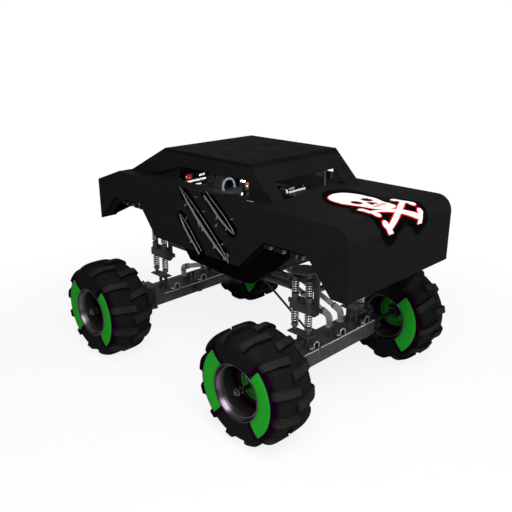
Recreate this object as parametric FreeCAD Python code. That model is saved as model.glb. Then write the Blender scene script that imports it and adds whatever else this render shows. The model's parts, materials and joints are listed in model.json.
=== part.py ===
import FreeCAD, Part
import math
import os
from FreeCAD import Vector

# Full-size monster truck: a hollow coupe body on a tube chassis, two steered drive axles and four
# 66 inch tyres.  Millimetres, +X to the nose, +Y to the truck's left, +Z up.  The origin is on the
# ground under the middle of the truck's overall length and width.  Heights (names that end in _Z)
# are measured from the line through the wheel centres; the last step lifts every piece by the tyre's
# radius onto the ground.

# ---------------------------------------------------------------- driving dimensions
# body, seen from the side
BODY_LENGTH = 5662.0
FRONT_OVERHANG = 1117.0        # front axle line to nose
REAR_OVERHANG = 864.0          # rear axle line to tail
SILL_Z = 1360.0
ARCH_Z = 1847.0                # flat top of the wheel arches
BELT_Z = 2335.0                # hood, deck and shoulder
ROOF_Z = 2830.0
TAIL_TOP_Z = 2094.0            # where the deck's rear slope meets the tail
TAIL_SLOPE = 695.0             # length of that slope
NOSE_RADIUS = 240.0
# body, seen from the front
BODY_HALF_WIDTH = 1225.0
CABIN_HALF_WIDTH = 980.0
LID_MARGIN = 75.0              # from the body's side to the seam of the hood or deck
SKIN = 30.0                    # wall of the lower body
LIP = 226.0                    # return lip along the sill and the arches
CABIN_WALL = 60.0
# raised middle of the hood, highest at the cowl
BULGE_HEIGHT = 95.0
BULGE_LENGTH = 640.0
BULGE_HALF_FOOT = 735.0
BULGE_HALF_TOP = 340.0
BULGE_FADE = 2.0               # height left at its front end
BULGE_STEPS = 8                # points of its curve on each side of the middle
# cabin, measured from the middle of the wheelbase
ROOF_HALF_LENGTH = 975.0
WINDSCREEN_FOOT = 1474.0
BACKLIGHT_FOOT = -1980.0
WINDOW_TOP_Z = 2575.0
WINDOW_FRONT = 980.0
WINDOW_REAR_TOP = -560.0
WINDOW_REAR_FOOT = -1410.0
WINDSCREEN_HALF_TOP = 720.0
WINDSCREEN_HALF_FOOT = 745.0
# carbon side skirts between the arches
SKIRT_DEPTH = 199.0
SKIRT_SKIN = 25.0
STAY_RADIUS = 44.0
# tyres and wheels
TYRE_RADIUS = 840.0
TYRE_HALF_WIDTH = 407.0
TYRE_SHOULDER_DROP = 76.0
WHEEL_HALF_TRACK = 1715.0
RIM_LIP_RADIUS = 424.0
RIM_FLANGE = 20.0              # lip above the barrel
RIM_WALL = 14.0
RIM_HALF_WIDTH = 394.0
RIM_WELL_DEPTH = 30.0
CENTRE_THICKNESS = 44.0
CENTRE_POCKETS = 8
SPINDLE_RADIUS = 50.0
RUNNING_GAP = 0.3              # radial clearance at pins and shafts
SIDE_GAP = 5.0                 # clearance between pieces that move past each other
# axles
BEAM_INSET = 112.0             # axle beam's middle, inboard of the wheel line
BEAM_DEPTH = 450.0
BEAM_HALF_LENGTH = 950.0
BEAM_TOP_Z = 110.0
BEAM_BOTTOM_Z = -128.0
KINGPIN_Y = 1060.0
KINGPIN_RADIUS = 35.0
EAR_THICKNESS = 42.0
EAR_RISE = 80.0                # upper ear above the beam's top
EAR_DROP = 62.0                # lower ear below the beam's bottom
BARREL_RADIUS = 75.0
HUB_HOUSING_RADIUS = 92.0
STEER_ARM = 330.0
TIE_ROD_RADIUS = 21.0
TIE_PIN_RADIUS = 16.0
# chassis
RAIL_Y = 565.0
RAIL_RADIUS = 58.0
RAIL_Z = (1008.0, 1128.0)      # lower and upper tube of each side rail
CROSS_RADIUS = 45.0
CAGE_RADIUS = 28.0
FLOOR_THICKNESS = 12.0
# shock towers and coil-overs
SHOCK_SPACING = 264.0
COIL_RADIUS = 60.0
TOWER_PLATE = 30.0
TOWER_HALF_WIDTH = 260.0
TOWER_DISC_RADIUS = 200.0
TOWER_TOP_Z = 1350.0
PAD_Z = 360.0                  # top of the spring pad on the axle
# suspension links
LINK_RADIUS = 44.0
LINK_FOOT_OFFSET = 155.0       # both axles' feet stand behind the beam's middle
LINK_BEND = 95.0
CRADLE_X = 320.0
# tow eyes
TOW_BORE_RADIUS = 25.0
TOW_LUG_THICKNESS = 40.0

# ---------------------------------------------------------------- worked-out places
NOSE_X = BODY_LENGTH / 2
TAIL_X = -BODY_LENGTH / 2
FRONT_AXLE_X = NOSE_X - FRONT_OVERHANG
REAR_AXLE_X = TAIL_X + REAR_OVERHANG
MID_X = (FRONT_AXLE_X + REAR_AXLE_X) / 2
LIP_INNER_Y = BODY_HALF_WIDTH - LIP
LID_HALF_WIDTH = BODY_HALF_WIDTH - LID_MARGIN
RIM_BARREL_RADIUS = RIM_LIP_RADIUS - RIM_FLANGE
TOWER_PLATE_Y = RAIL_Y - 12.0                                  # inner face of the tower plate
SHOCK_Y = TOWER_PLATE_Y + TOWER_PLATE + COIL_RADIUS + 2.0      # coils just clear the plate
CAGE_Y = CABIN_HALF_WIDTH - CABIN_WALL - 60.0

# name, sign along X of the end, wheel line, beam middle
AXLES = (
    ("front", 1, FRONT_AXLE_X, FRONT_AXLE_X - BEAM_INSET),
    ("rear", -1, REAR_AXLE_X, REAR_AXLE_X + BEAM_INSET),
)
SIDES = (("left", 1), ("right", -1))

# wheel arch corners, from the axle line: foot rear, top rear, top front, foot front
REAR_ARCH = (-REAR_OVERHANG, -355.0, 410.0, 810.0)
FRONT_ARCH = (-848.0, -330.0, 440.0, 860.0)


# ---------------------------------------------------------------- shape helpers
def block(x0, x1, y0, y1, z0, z1):
    return Part.makeBox(x1 - x0, y1 - y0, z1 - z0, Vector(x0, y0, z0))


def rod(start, end, radius):
    start, end = Vector(*start), Vector(*end)
    return Part.makeCylinder(radius, start.distanceToPoint(end), start, end - start)


def post(x, y, z0, z1, radius):
    return Part.makeCylinder(radius, z1 - z0, Vector(x, y, z0))


def ball(centre, radius):
    return Part.makeSphere(radius, Vector(*centre))


def side_prism(outline, y0, y1):
    """Extrude an (x, z) outline from y0 to y1."""
    points = [Vector(x, y0, z) for x, z in outline]
    return Part.Face(Part.makePolygon(points + points[:1])).extrude(Vector(0, y1 - y0, 0))


def front_prism(outline, x0, x1):
    """Extrude a (y, z) outline from x0 to x1."""
    points = [Vector(x0, y, z) for y, z in outline]
    return Part.Face(Part.makePolygon(points + points[:1])).extrude(Vector(x1 - x0, 0, 0))


def plan_prism(outline, z0, z1):
    """Extrude an (x, y) outline from z0 to z1."""
    points = [Vector(x, y, z0) for x, y in outline]
    return Part.Face(Part.makePolygon(points + points[:1])).extrude(Vector(0, 0, z1 - z0))


def turned(outline, centre_x, centre_y):
    """Revolve an (offset along Y, radius) outline about the wheel axis."""
    points = [Vector(0, y, r) for y, r in outline]
    ring = Part.Face(Part.makePolygon(points + points[:1]))
    solid = ring.revolve(Vector(0, 0, 0), Vector(0, 1, 0), 360)
    return solid.translated(Vector(centre_x, centre_y, 0))


def upright(outline, x, y):
    """Revolve a (z, radius) outline about a vertical axis."""
    points = [Vector(r, 0, z) for z, r in outline]
    ring = Part.Face(Part.makePolygon(points + points[:1]))
    return ring.revolve(Vector(0, 0, 0), Vector(0, 0, 1), 360).translated(Vector(x, y, 0))


def stepped(steps, bore=0.0):
    """(place, radius) table of a stepped shaft as a closed outline down to the bore."""
    outline = [(steps[0][0], bore)]
    for (start, radius), (end, _) in zip(steps, steps[1:]):
        outline += [(start, radius), (end, radius)]
    return outline + [(steps[-1][0], bore)]


def bent_tube(points, radius, bend):
    """A tube along straight runs joined by tangent arcs."""
    points = [Vector(*p) for p in points]
    edges, start = [], points[0]
    for before, corner, after in zip(points, points[1:], points[2:]):
        back, ahead = (before - corner).normalize(), (after - corner).normalize()
        half_turn = (math.pi - back.getAngle(ahead)) / 2
        cut = bend * math.tan(half_turn)
        first, last = corner + back * cut, corner + ahead * cut
        middle = (back + ahead).normalize()
        sag = bend / math.cos(half_turn) - bend
        edges.append(Part.LineSegment(start, first).toShape())
        edges.append(Part.Arc(first, corner + middle * sag, last).toShape())
        start = last
    edges.append(Part.LineSegment(start, points[-1]).toShape())
    spine = Part.Wire(edges)
    heading = (points[1] - points[0]).normalize()
    ring = Part.Wire([Part.makeCircle(radius, points[0], heading)])
    return spine.makePipeShell([ring], True, True)


def inset(outline, distance):
    """Move every edge of a counter-clockwise outline inwards."""
    lines = []
    for (x0, z0), (x1, z1) in zip(outline, outline[1:] + outline[:1]):
        length = math.hypot(x1 - x0, z1 - z0)
        nx, nz = -(z1 - z0) / length, (x1 - x0) / length
        lines.append((nx, nz, nx * x0 + nz * z0 + distance))
    corners = []
    for (a0, b0, c0), (a1, b1, c1) in zip(lines[-1:] + lines[:-1], lines):
        det = a0 * b1 - a1 * b0
        corners.append(((c0 * b1 - c1 * b0) / det, (a0 * c1 - a1 * c0) / det))
    return corners


def fuse(shapes):
    whole = shapes[0].multiFuse(shapes[1:]) if len(shapes) > 1 else shapes[0]
    return whole.removeSplitter()


def mirrored(shape):
    return shape.mirror(Vector(0, 0, 0), Vector(0, 1, 0))


def sided(shape, side):
    """The shape as built for the left, or its mirror image on the right."""
    return shape if side > 0 else mirrored(shape)


# ---------------------------------------------------------------- body shell
def body_outline():
    """Side outline of the lower body, counter-clockwise from the tail's foot."""
    rear, front = REAR_AXLE_X, FRONT_AXLE_X
    return [
        (TAIL_X, SILL_Z),
        (rear + REAR_ARCH[1], ARCH_Z),
        (rear + REAR_ARCH[2], ARCH_Z),
        (rear + REAR_ARCH[3], SILL_Z),
        (front + FRONT_ARCH[0], SILL_Z),
        (front + FRONT_ARCH[1], ARCH_Z),
        (front + FRONT_ARCH[2], ARCH_Z),
        (front + FRONT_ARCH[3], SILL_Z),
        (NOSE_X, SILL_Z),
        (NOSE_X, BELT_Z),
        (TAIL_X + TAIL_SLOPE, BELT_Z),
        (TAIL_X, TAIL_TOP_Z),
    ]


def round_nose(solid, corner_x, corner_z, radius):
    """Fillet the long edge that runs across the top of the nose."""
    near = [
        edge for edge in solid.Edges
        if abs(edge.CenterOfMass.x - corner_x) < 1 and abs(edge.CenterOfMass.z - corner_z) < 1
    ]
    return solid.makeFillet(radius, near)


def cabin_outline():
    """Side outline of the cabin above the belt, counter-clockwise."""
    return [
        (MID_X + BACKLIGHT_FOOT, BELT_Z),
        (MID_X + WINDSCREEN_FOOT, BELT_Z),
        (MID_X + ROOF_HALF_LENGTH, ROOF_Z),
        (MID_X - ROOF_HALF_LENGTH, ROOF_Z),
    ]


def cabin_hollow():
    """Inside of the cabin, carried on down through the lower body's top skin."""
    inner = inset(cabin_outline(), CABIN_WALL)
    floor_z = BELT_Z - 2 * SKIN
    (rx, rz), (fx, fz), top_front, top_rear = inner
    rear_slope = (top_rear[0] - rx) / (top_rear[1] - rz)
    front_slope = (top_front[0] - fx) / (top_front[1] - fz)
    rear_foot = rx - rear_slope * (rz - BELT_Z)
    front_foot = fx - front_slope * (fz - BELT_Z)
    outline = [
        (rear_foot, floor_z), (front_foot, floor_z), (front_foot, BELT_Z),
        top_front, top_rear, (rear_foot, BELT_Z),
    ]
    half = CABIN_HALF_WIDTH - CABIN_WALL
    return side_prism(outline, -half, half)


def ceiling_z(x):
    """Height of the cabin's inner surface at x."""
    inner = inset(cabin_outline(), CABIN_WALL)
    (rx, rz), (fx, fz), (tfx, top), (trx, _) = inner
    rear = rz + (x - rx) * (top - rz) / (trx - rx)
    front = fz + (x - fx) * (top - fz) / (tfx - fx)
    return min(top, rear, front)


def lower_shell():
    outline = body_outline()
    inner = inset(outline, SKIN)
    width, inner_width = BODY_HALF_WIDTH, BODY_HALF_WIDTH - SKIN
    outer = round_nose(side_prism(outline, -width, width), NOSE_X, BELT_Z, NOSE_RADIUS)
    hollow = round_nose(
        side_prism(inner, -inner_width, inner_width), NOSE_X - SKIN, BELT_Z - SKIN, NOSE_RADIUS - SKIN)
    # the bottom stays open between the lips
    drop = SILL_Z - 100
    mouth = block(TAIL_X + SKIN, NOSE_X - LIP, -LIP_INNER_Y, LIP_INNER_Y, drop, ARCH_Z + 2 * SKIN)
    return outer.cut([hollow, mouth, cabin_hollow()])


def crown(wall, rise):
    """(y, height over the belt) points across the hood's bulge: a flat middle with eased shoulders."""
    foot = BULGE_HALF_FOOT - wall
    points = []
    for step in range(-BULGE_STEPS, BULGE_STEPS + 1):
        y = foot * step / BULGE_STEPS
        slope = min(max((abs(y) - BULGE_HALF_TOP) / (foot - BULGE_HALF_TOP), 0.0), 1.0)
        points.append((y, (rise + wall) * (1 + math.cos(math.pi * slope)) / 2 - wall))
    return points


def bulge(wall, reach):
    """Loft of the hood's raised middle, set in by wall from its outer surface."""
    cowl_x, base = MID_X + WINDSCREEN_FOOT, BELT_Z - SKIN - wall / 2
    sections = []
    for x, rise in ((cowl_x, BULGE_HEIGHT - wall), (cowl_x + reach, BULGE_FADE - wall)):
        points = [Vector(x, y, BELT_Z + z) for y, z in crown(wall, rise)]
        curve = Part.BSplineCurve()
        curve.interpolate(points)
        foot = points[-1].y
        ends = [points[-1], Vector(x, foot, base), Vector(x, -foot, base), points[0]]
        sections.append(Part.Wire([curve.toShape()] + Part.makePolygon(ends).Edges))
    return Part.makeLoft(sections, True, True)


def body_panels():
    shell = lower_shell()
    door_rear = REAR_AXLE_X + REAR_ARCH[3]
    door_front = min(FRONT_AXLE_X + FRONT_ARCH[0], MID_X + WINDSCREEN_FOOT - 2 * CABIN_WALL)
    nose_seam = NOSE_X - NOSE_RADIUS
    tail_seam = TAIL_X + SKIN
    edge, low, high = BODY_HALF_WIDTH + 1, SILL_Z - 1, BELT_Z + 1
    lid = LID_HALF_WIDTH
    # node, x0, x1, y0, y1 of the box that bounds each panel
    regions = (
        ("nose_panel", nose_seam, NOSE_X + 1, -edge, edge),
        ("hood", door_front, nose_seam, -lid, lid),
        ("fender_left", door_front, nose_seam, lid, edge),
        ("fender_right", door_front, nose_seam, -edge, -lid),
        ("side_panel_left", door_rear, door_front, 0, edge),
        ("side_panel_right", door_rear, door_front, -edge, 0),
        ("rear_deck", tail_seam, door_rear, -lid, lid),
        ("quarter_left", tail_seam, door_rear, lid, edge),
        ("quarter_right", tail_seam, door_rear, -edge, -lid),
        ("tail_panel", TAIL_X - 1, tail_seam, -edge, edge),
    )
    panels = {name: shell.common(block(x0, x1, y0, y1, low, high)) for name, x0, x1, y0, y1 in regions}
    raised = fuse([panels["hood"], bulge(0.0, BULGE_LENGTH)])
    panels["hood"] = raised.cut(bulge(SKIN, BULGE_LENGTH - 4 * SKIN))
    return panels


def cabin_panels():
    half = CABIN_HALF_WIDTH
    shell = side_prism(cabin_outline(), -half, half).cut(cabin_hollow())
    glass = front_prism(
        [(-WINDSCREEN_HALF_FOOT, BELT_Z - 1), (WINDSCREEN_HALF_FOOT, BELT_Z - 1),
         (WINDSCREEN_HALF_TOP, WINDOW_TOP_Z), (-WINDSCREEN_HALF_TOP, WINDOW_TOP_Z)],
        MID_X + ROOF_HALF_LENGTH + 1, MID_X + WINDSCREEN_FOOT + 10)
    window = side_prism(
        [(MID_X + WINDOW_REAR_FOOT, BELT_Z - 1), (MID_X + WINDOW_FRONT, BELT_Z - 1),
         (MID_X + WINDOW_FRONT, WINDOW_TOP_Z), (MID_X + WINDOW_REAR_TOP, WINDOW_TOP_Z)],
        -half - 1, half + 1)
    shell = shell.cut([glass, window])
    side, ceiling = half - CABIN_WALL, ROOF_Z - CABIN_WALL
    rear, front = MID_X + BACKLIGHT_FOOT - 1, MID_X + WINDSCREEN_FOOT + 1
    # node, x0, x1, y0, y1, z0, z1 of the box that bounds each panel
    regions = (
        ("roof", rear, front, -half, half, ceiling, ROOF_Z + 1),
        ("windscreen_frame", MID_X, front, -side, side, BELT_Z, ceiling),
        ("backlight_panel", rear, MID_X, -side, side, BELT_Z, ceiling),
        ("cabin_side_left", rear, front, side, half, BELT_Z, ceiling),
        ("cabin_side_right", rear, front, -half, -side, BELT_Z, ceiling),
    )
    return {name: shell.common(block(*box)) for name, *box in regions}


# corners of a skirt, counter-clockwise: axle line, offset from it, height
SKIRT_CORNERS = (
    (REAR_AXLE_X, 820.0, 1780.0), (REAR_AXLE_X, 1440.0, 1060.0), (FRONT_AXLE_X, -980.0, 1010.0),
    (FRONT_AXLE_X, -790.0, 1042.0), (FRONT_AXLE_X, 130.0, 1832.0),
)
SKIRT_STRETCH = 1.3            # the hollow's slanted edges run on past the skirt's open top
# skirt stays: axle line, foot and elbow along X from it
STAYS = ((REAR_AXLE_X, 1520.0, 1330.0), (FRONT_AXLE_X, -780.0, -585.0))
STAY_ELBOW_Z = 1360.0


def skirt(side):
    """A side skirt: outer face, with its lower edges turned inwards."""
    outline = [(line + offset, z) for line, offset, z in SKIRT_CORNERS]

    def run_on(corner, before):
        return tuple(start + (end - start) * SKIRT_STRETCH for start, end in zip(before, corner))

    taller = [run_on(outline[0], outline[1])] + outline[1:-1] + [run_on(outline[-1], outline[-2])]
    outer = side_prism(outline, LIP_INNER_Y - SKIRT_DEPTH, LIP_INNER_Y)
    hollow = side_prism(
        inset(taller, SKIRT_SKIN), LIP_INNER_Y - SKIRT_DEPTH - 1, LIP_INNER_Y - SKIRT_SKIN)
    return sided(outer.cut(hollow), side)


# ---------------------------------------------------------------- chassis and cage
CROSS_Z = RAIL_Z[1]
FLOOR_Z = CROSS_Z + CROSS_RADIUS
RAIL_TOP_Z = RAIL_Z[1] + RAIL_RADIUS
WEB_HALF = 20.0                # half thickness of the web between a rail's two tubes
CRADLE_Z = 809.0
HANGER_THICKNESS = 30.0
HANGER_HALF_TOP = 90.0
HANGER_HALF_FOOT = 60.0
CROSS_TUBES = (-900.0, -450.0, -100.0, 100.0, 450.0)       # from the middle of the wheelbase
END_TUBES = (168.0, 418.0)                                 # from the rear and front ends of the rails
CAGE_POSTS = (-1150.0, 880.0)                              # from the middle of the wheelbase
CAGE_BEND_Z = 1760.0
CAGE_CLEARANCE = 22.0          # under the roof
BODY_STUB_Z = 2060.0
STUB_RADIUS = 18.0
STUB_PAD = 45.0
FLOOR_EDGE_GAP = 7.0


def rail_ends():
    (_, _, _, front), (_, _, _, rear) = AXLES
    return rear + TOWER_HALF_WIDTH, front - TOWER_HALF_WIDTH


def cross_places():
    start, end = rail_ends()
    return [start + END_TUBES[0]] + [MID_X + x for x in CROSS_TUBES] + [end - END_TUBES[1]]


def chassis_frame():
    start, end = rail_ends()
    low, high = RAIL_Z
    parts = []
    for _, side in SIDES:
        y = side * RAIL_Y
        parts += [rod((start, y, z), (end, y, z), RAIL_RADIUS) for z in RAIL_Z]
        parts.append(block(start, end, y - WEB_HALF, y + WEB_HALF, low, high))
        for sign in (1, -1):
            x, foot_z = MID_X + sign * CRADLE_X, CRADLE_Z - HANGER_HALF_FOOT
            hanger = [
                (x - HANGER_HALF_TOP, low), (x - HANGER_HALF_FOOT, foot_z),
                (x + HANGER_HALF_FOOT, foot_z), (x + HANGER_HALF_TOP, low),
            ]
            half = HANGER_THICKNESS / 2
            parts.append(side_prism(hanger, y - half, y + half))
        for line, foot, elbow in STAYS:
            face = side * (LIP_INNER_Y - SKIRT_SKIN)
            points = [(line + foot, y, RAIL_Z[1]), (line + elbow, y, STAY_ELBOW_Z),
                      (line + elbow, face, STAY_ELBOW_Z)]
            parts.append(bent_tube(points, STAY_RADIUS, STAY_RADIUS * 1.5))
    for x in cross_places():
        parts.append(rod((x, -RAIL_Y, CROSS_Z), (x, RAIL_Y, CROSS_Z), CROSS_RADIUS))
    for sign in (1, -1):
        x = MID_X + sign * CRADLE_X
        parts.append(rod((x, -RAIL_Y, CRADLE_Z), (x, RAIL_Y, CRADLE_Z), CROSS_RADIUS))
    return fuse(parts)


def roll_cage():
    skin = BODY_HALF_WIDTH - SKIN
    tops = [(MID_X + x, ceiling_z(MID_X + x) - CAGE_CLEARANCE - CAGE_RADIUS) for x in CAGE_POSTS]
    parts = []
    for x, top_z in tops:
        for _, side in SIDES:
            foot, bend = (x, side * RAIL_Y, RAIL_TOP_Z), (x, side * CAGE_Y, CAGE_BEND_Z)
            top, stub = (x, side * CAGE_Y, top_z), (x, side * (skin - 8), BODY_STUB_Z)
            parts += [
                post(x, side * RAIL_Y, RAIL_TOP_Z, RAIL_TOP_Z + 12, CAGE_RADIUS + 18),
                rod(foot, bend, CAGE_RADIUS), rod(bend, top, CAGE_RADIUS),
                ball(bend, CAGE_RADIUS), ball(top, CAGE_RADIUS),
                rod((x, side * CAGE_Y, BODY_STUB_Z), stub, STUB_RADIUS),
                rod(stub, (x, side * skin, BODY_STUB_Z), STUB_PAD),
            ]
        for z in (CAGE_BEND_Z, top_z):
            parts.append(rod((x, -CAGE_Y, z), (x, CAGE_Y, z), CAGE_RADIUS))
    (rear_x, rear_z), (front_x, front_z) = tops
    for _, side in SIDES:
        y = side * CAGE_Y
        parts.append(rod((rear_x, y, rear_z), (front_x, y, front_z), CAGE_RADIUS))
        parts.append(rod((rear_x, y, BODY_STUB_Z), (front_x, y, BODY_STUB_Z), CAGE_RADIUS))
    # the slanted feet end flat on the rails
    under = block(rear_x - 200, front_x + 200, -CAGE_Y, CAGE_Y, RAIL_TOP_Z - 200, RAIL_TOP_Z)
    return fuse(parts).cut(under)


def floor_pan():
    half = RAIL_Y - RAIL_RADIUS - FLOOR_EDGE_GAP
    places, overhang = cross_places(), CROSS_RADIUS + 15
    return block(places[0] - overhang, places[-1] + overhang, -half, half, FLOOR_Z,
                 FLOOR_Z + FLOOR_THICKNESS)


# ---------------------------------------------------------------- power train
BASE_Z = FLOOR_Z + FLOOR_THICKNESS
ENGINE = (-1210.0, -410.0)          # rear and front, from the middle of the wheelbase
ENGINE_HALF_WIDTH = 180.0
ENGINE_TOP_Z = 1720.0
BANK_Z = 210.0                      # crankshaft, above the floor
BANK_ANGLE = 45.0
# distance out along a cylinder bank, half width, inset of the ends
BANK_STEPS = ((0.0, 84.0, 60.0), (225.0, 92.0, 50.0), (300.0, 76.0, 62.0), (360.0, 0.0, 0.0))
HEADER_RADIUS = 24.0
HEADERS = 4                         # on each side
BLOWER_TOP_Z = 1900.0
BLOWER_HALF_WIDTH = 150.0
BLOWER_RIBS = 7
RIB = 14.0
DRIVE_RADIUS = 95.0
BARREL = (-1170.0, -520.0)          # intake barrel, rear and front
INTAKE_RADIUS = 200.0
INTAKE_WALL = 45.0
INTAKE_DEPTH = 220.0
INTAKE_Z = 2040.0
CASE_HALF_LENGTH = 190.0
CASE_HALF_WIDTH = 150.0
CASE_HEIGHT = 380.0
CASE_FILLET = 60.0
SHAFT_RADIUS = 42.0
SHAFT_JOINT = 54.0
SHAFT_FLANGE = 60.0
SHAFT_ENDS = (75.0, 60.0)           # length of the flanges at the axle and at the case
PINION_RADIUS = 85.0
PINION_LENGTH = 120.0
PINION_Z = 2.0
SHAFT_UPPER_Z = 705.0


def engine():
    """V8: sump and block, two banks with heads and covers, and four headers on each side."""
    rear, front = (MID_X + x for x in ENGINE)
    half = ENGINE_HALF_WIDTH
    profile = [(-half * 0.7, 0), (half * 0.7, 0), (half * 0.85, 130), (half, 160), (half, 300),
               (-half, 300), (-half, 160), (-half * 0.85, 130)]
    parts = [front_prism([(y, BASE_Z + z) for y, z in profile], rear + 70, front - 60)]
    parts.append(block(rear + 120, front - 120, -90, 90, BASE_Z + 250, ENGINE_TOP_Z))
    # bell housing behind, damper in front
    for x0, x1, radius in ((rear, rear + 90, 165), (front - 70, front - 20, 90)):
        parts.append(rod((x0, 0, BASE_Z + BANK_Z), (x1, 0, BASE_Z + BANK_Z), radius))
    pitch = (front - rear - 300) / (HEADERS - 1)
    for _, side in SIDES:
        bank = []
        for (z0, wide, trim), (z1, _, _) in zip(BANK_STEPS, BANK_STEPS[1:]):
            bank.append(block(rear + trim + 40, front - trim - 40, -wide, wide, z0, z1))
        bank = fuse(bank)
        bank.rotate(Vector(0, 0, 0), Vector(1, 0, 0), -side * BANK_ANGLE)
        parts.append(bank.translated(Vector(0, 0, BASE_Z + BANK_Z)))
        for index in range(HEADERS):
            x = rear + 150 + index * pitch
            port = [(x, side * 230, BASE_Z + 330), (x, side * 430, BASE_Z + 300),
                    (x - 60, side * 470, BASE_Z + 520)]
            parts.append(bent_tube(port, HEADER_RADIUS, 3 * HEADER_RADIUS))
    return fuse(parts)


def blower():
    """Ribbed case with its drive snout, and the intake barrel on top, open in front."""
    rear, front = (MID_X + x for x in ENGINE)
    b_rear, b_front = (MID_X + x for x in BARREL)
    wide, start, end = BLOWER_HALF_WIDTH, rear + 160, front - 160
    parts = [block(start, end, -wide, wide, ENGINE_TOP_Z, BLOWER_TOP_Z)]
    pitch = (end - start - RIB) / (BLOWER_RIBS - 1)
    for index in range(BLOWER_RIBS):
        x = start + index * pitch
        parts.append(block(x, x + RIB, -wide - RIB, wide + RIB, ENGINE_TOP_Z, BLOWER_TOP_Z))
    drive_z = (ENGINE_TOP_Z + BLOWER_TOP_Z) / 2
    parts.append(rod((end, 0, drive_z), (front - 60, 0, drive_z), DRIVE_RADIUS * 0.6))
    parts.append(rod((front - 60, 0, drive_z), (front, 0, drive_z), DRIVE_RADIUS))
    parts.append(rod((b_rear, 0, INTAKE_Z), (b_front, 0, INTAKE_Z), INTAKE_RADIUS))
    for x in (b_rear + 60, b_front - 100):
        parts.append(rod((x, 0, INTAKE_Z), (x + 40, 0, INTAKE_Z), INTAKE_RADIUS + 8))
    bore = rod((b_front - INTAKE_DEPTH, 0, INTAKE_Z), (b_front + 1, 0, INTAKE_Z), INTAKE_RADIUS - INTAKE_WALL)
    return fuse(parts).cut(bore)


def transfer_case():
    top, half, wide = CROSS_Z - CROSS_RADIUS, CASE_HALF_LENGTH, CASE_HALF_WIDTH
    case = block(MID_X - half, MID_X + half, -wide, wide, top - CASE_HEIGHT, top)
    lower = [e for e in case.Edges if e.CenterOfMass.z < top - CASE_HEIGHT + 1 and abs(e.CenterOfMass.y) > 1]
    case = case.makeFillet(CASE_FILLET, lower)
    bosses = [
        rod((MID_X - half, 0, z), (MID_X + half, 0, z), radius)
        for z, radius in ((SHAFT_UPPER_Z, wide - 30), (SHAFT_UPPER_Z + 160, wide - 60))
    ]
    waist = block(MID_X - half - 1, MID_X - half + 70, -wide - 1, wide + 1, top - CASE_HEIGHT - 1, top - 90)
    other = block(MID_X + half - 70, MID_X + half + 1, -wide - 1, wide + 1, top - CASE_HEIGHT - 1, top - 90)
    return fuse([case.cut([waist, other])] + bosses)


def driveshafts():
    """One shaft from the transfer case to each axle's pinion, with a ball at each joint."""
    axle_flange, case_flange = SHAFT_ENDS
    parts = []
    for _, sign, _, beam_x in AXLES:
        face = beam_x - sign * (BEAM_DEPTH / 2 + PINION_LENGTH)
        case_face = MID_X + sign * CASE_HALF_LENGTH
        low = (face - sign * case_flange, 0, PINION_Z + 20)
        high = (case_face + sign * case_flange, 0, SHAFT_UPPER_Z)
        parts.append(fuse([
            rod((face, 0, PINION_Z), (face - sign * axle_flange, 0, PINION_Z), SHAFT_FLANGE),
            rod(low, high, SHAFT_RADIUS), ball(low, SHAFT_JOINT), ball(high, SHAFT_JOINT),
            rod((case_face, 0, SHAFT_UPPER_Z), (case_face + sign * case_flange, 0, SHAFT_UPPER_Z),
                SHAFT_FLANGE),
        ]))
    return Part.makeCompound(parts)


# ---------------------------------------------------------------- cockpit
SEAT_X = -330.0                     # back of the seat, from the middle of the wheelbase
SEAT_HALF_WIDTH = 250.0
SEAT_SIDE = 50.0
STEERING_X = 430.0
STEERING_Z = 1910.0
STEERING_RADIUS = 165.0
STEERING_GRIP = 15.0
# (x, z) from the seat's back and the floor: shell, the hollow it is sat in, and each side wing
SEAT_SHELL = ((60, 0), (520, 0), (600, 330), (190, 260), (90, 930), (0, 950), (-60, 880), (0, 200))
SEAT_HOLLOW = ((620, 360), (190, 300), (110, 860), (620, 700))
SEAT_WING = ((60, 150), (590, 300), (560, 420), (260, 430), (170, 820), (30, 880))


def seat():
    def placed(table):
        return [(MID_X + SEAT_X + x, BASE_Z + z) for x, z in table]

    half = SEAT_HALF_WIDTH
    parts = [side_prism(placed(SEAT_SHELL), -half, half)]
    for _, side in SIDES:
        parts.append(side_prism(placed(SEAT_WING), side * half, side * (half - SEAT_SIDE)))
    return fuse(parts).cut(side_prism(placed(SEAT_HOLLOW), SEAT_SIDE - half, half - SEAT_SIDE))


def steering_wheel():
    hub, tilt = Vector(MID_X + STEERING_X, 0, STEERING_Z), Vector(0.85, 0, -0.35)
    bar = (MID_X + CAGE_POSTS[1] - CAGE_RADIUS - 2, 0, CAGE_BEND_Z)
    across = tilt.cross(Vector(0, 1, 0)).normalize()
    parts = [
        Part.makeTorus(STEERING_RADIUS, STEERING_GRIP, hub, tilt), Part.makeCylinder(38, 50, hub, tilt),
        rod(tuple(hub), bar, 22),
    ]
    for angle in (90, 210, 330):
        turn = math.radians(angle)
        arm = Vector(0, 1, 0) * math.cos(turn) + across * math.sin(turn)
        parts.append(rod(tuple(hub), tuple(hub + arm * STEERING_RADIUS), 10))
    return fuse(parts)


# ---------------------------------------------------------------- shock towers and coil-overs
CLAMP_Z = (720.0, 850.0)
CLAMP_REACH = 62.0                  # clamp outside the shocks' line
SHOCK_BODY_RADIUS = 42.0
COIL_TURNS = 5
COIL_GROOVE = 16.0
DISC_THICKNESS = 20.0
WINDOW_Z = (885.0, 1120.0)
CAP_Z = 1145.0
ARM_REACH = 70.0
TOWER_CROSS_X = 200.0
TOWER_CROSS_Z = RAIL_Z[0] + 60.0
TOW_REACH = 95.0
TOW_EYE_RADIUS = 58.0
# half the tower plate's outline: offset in from its half width, height
TOWER_OUTLINE = (
    (70, 640), (0, 700), (0, 740), (-ARM_REACH, 740), (-ARM_REACH, 810), (0, 810), (0, 1210), (80, 1330),
)
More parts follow.
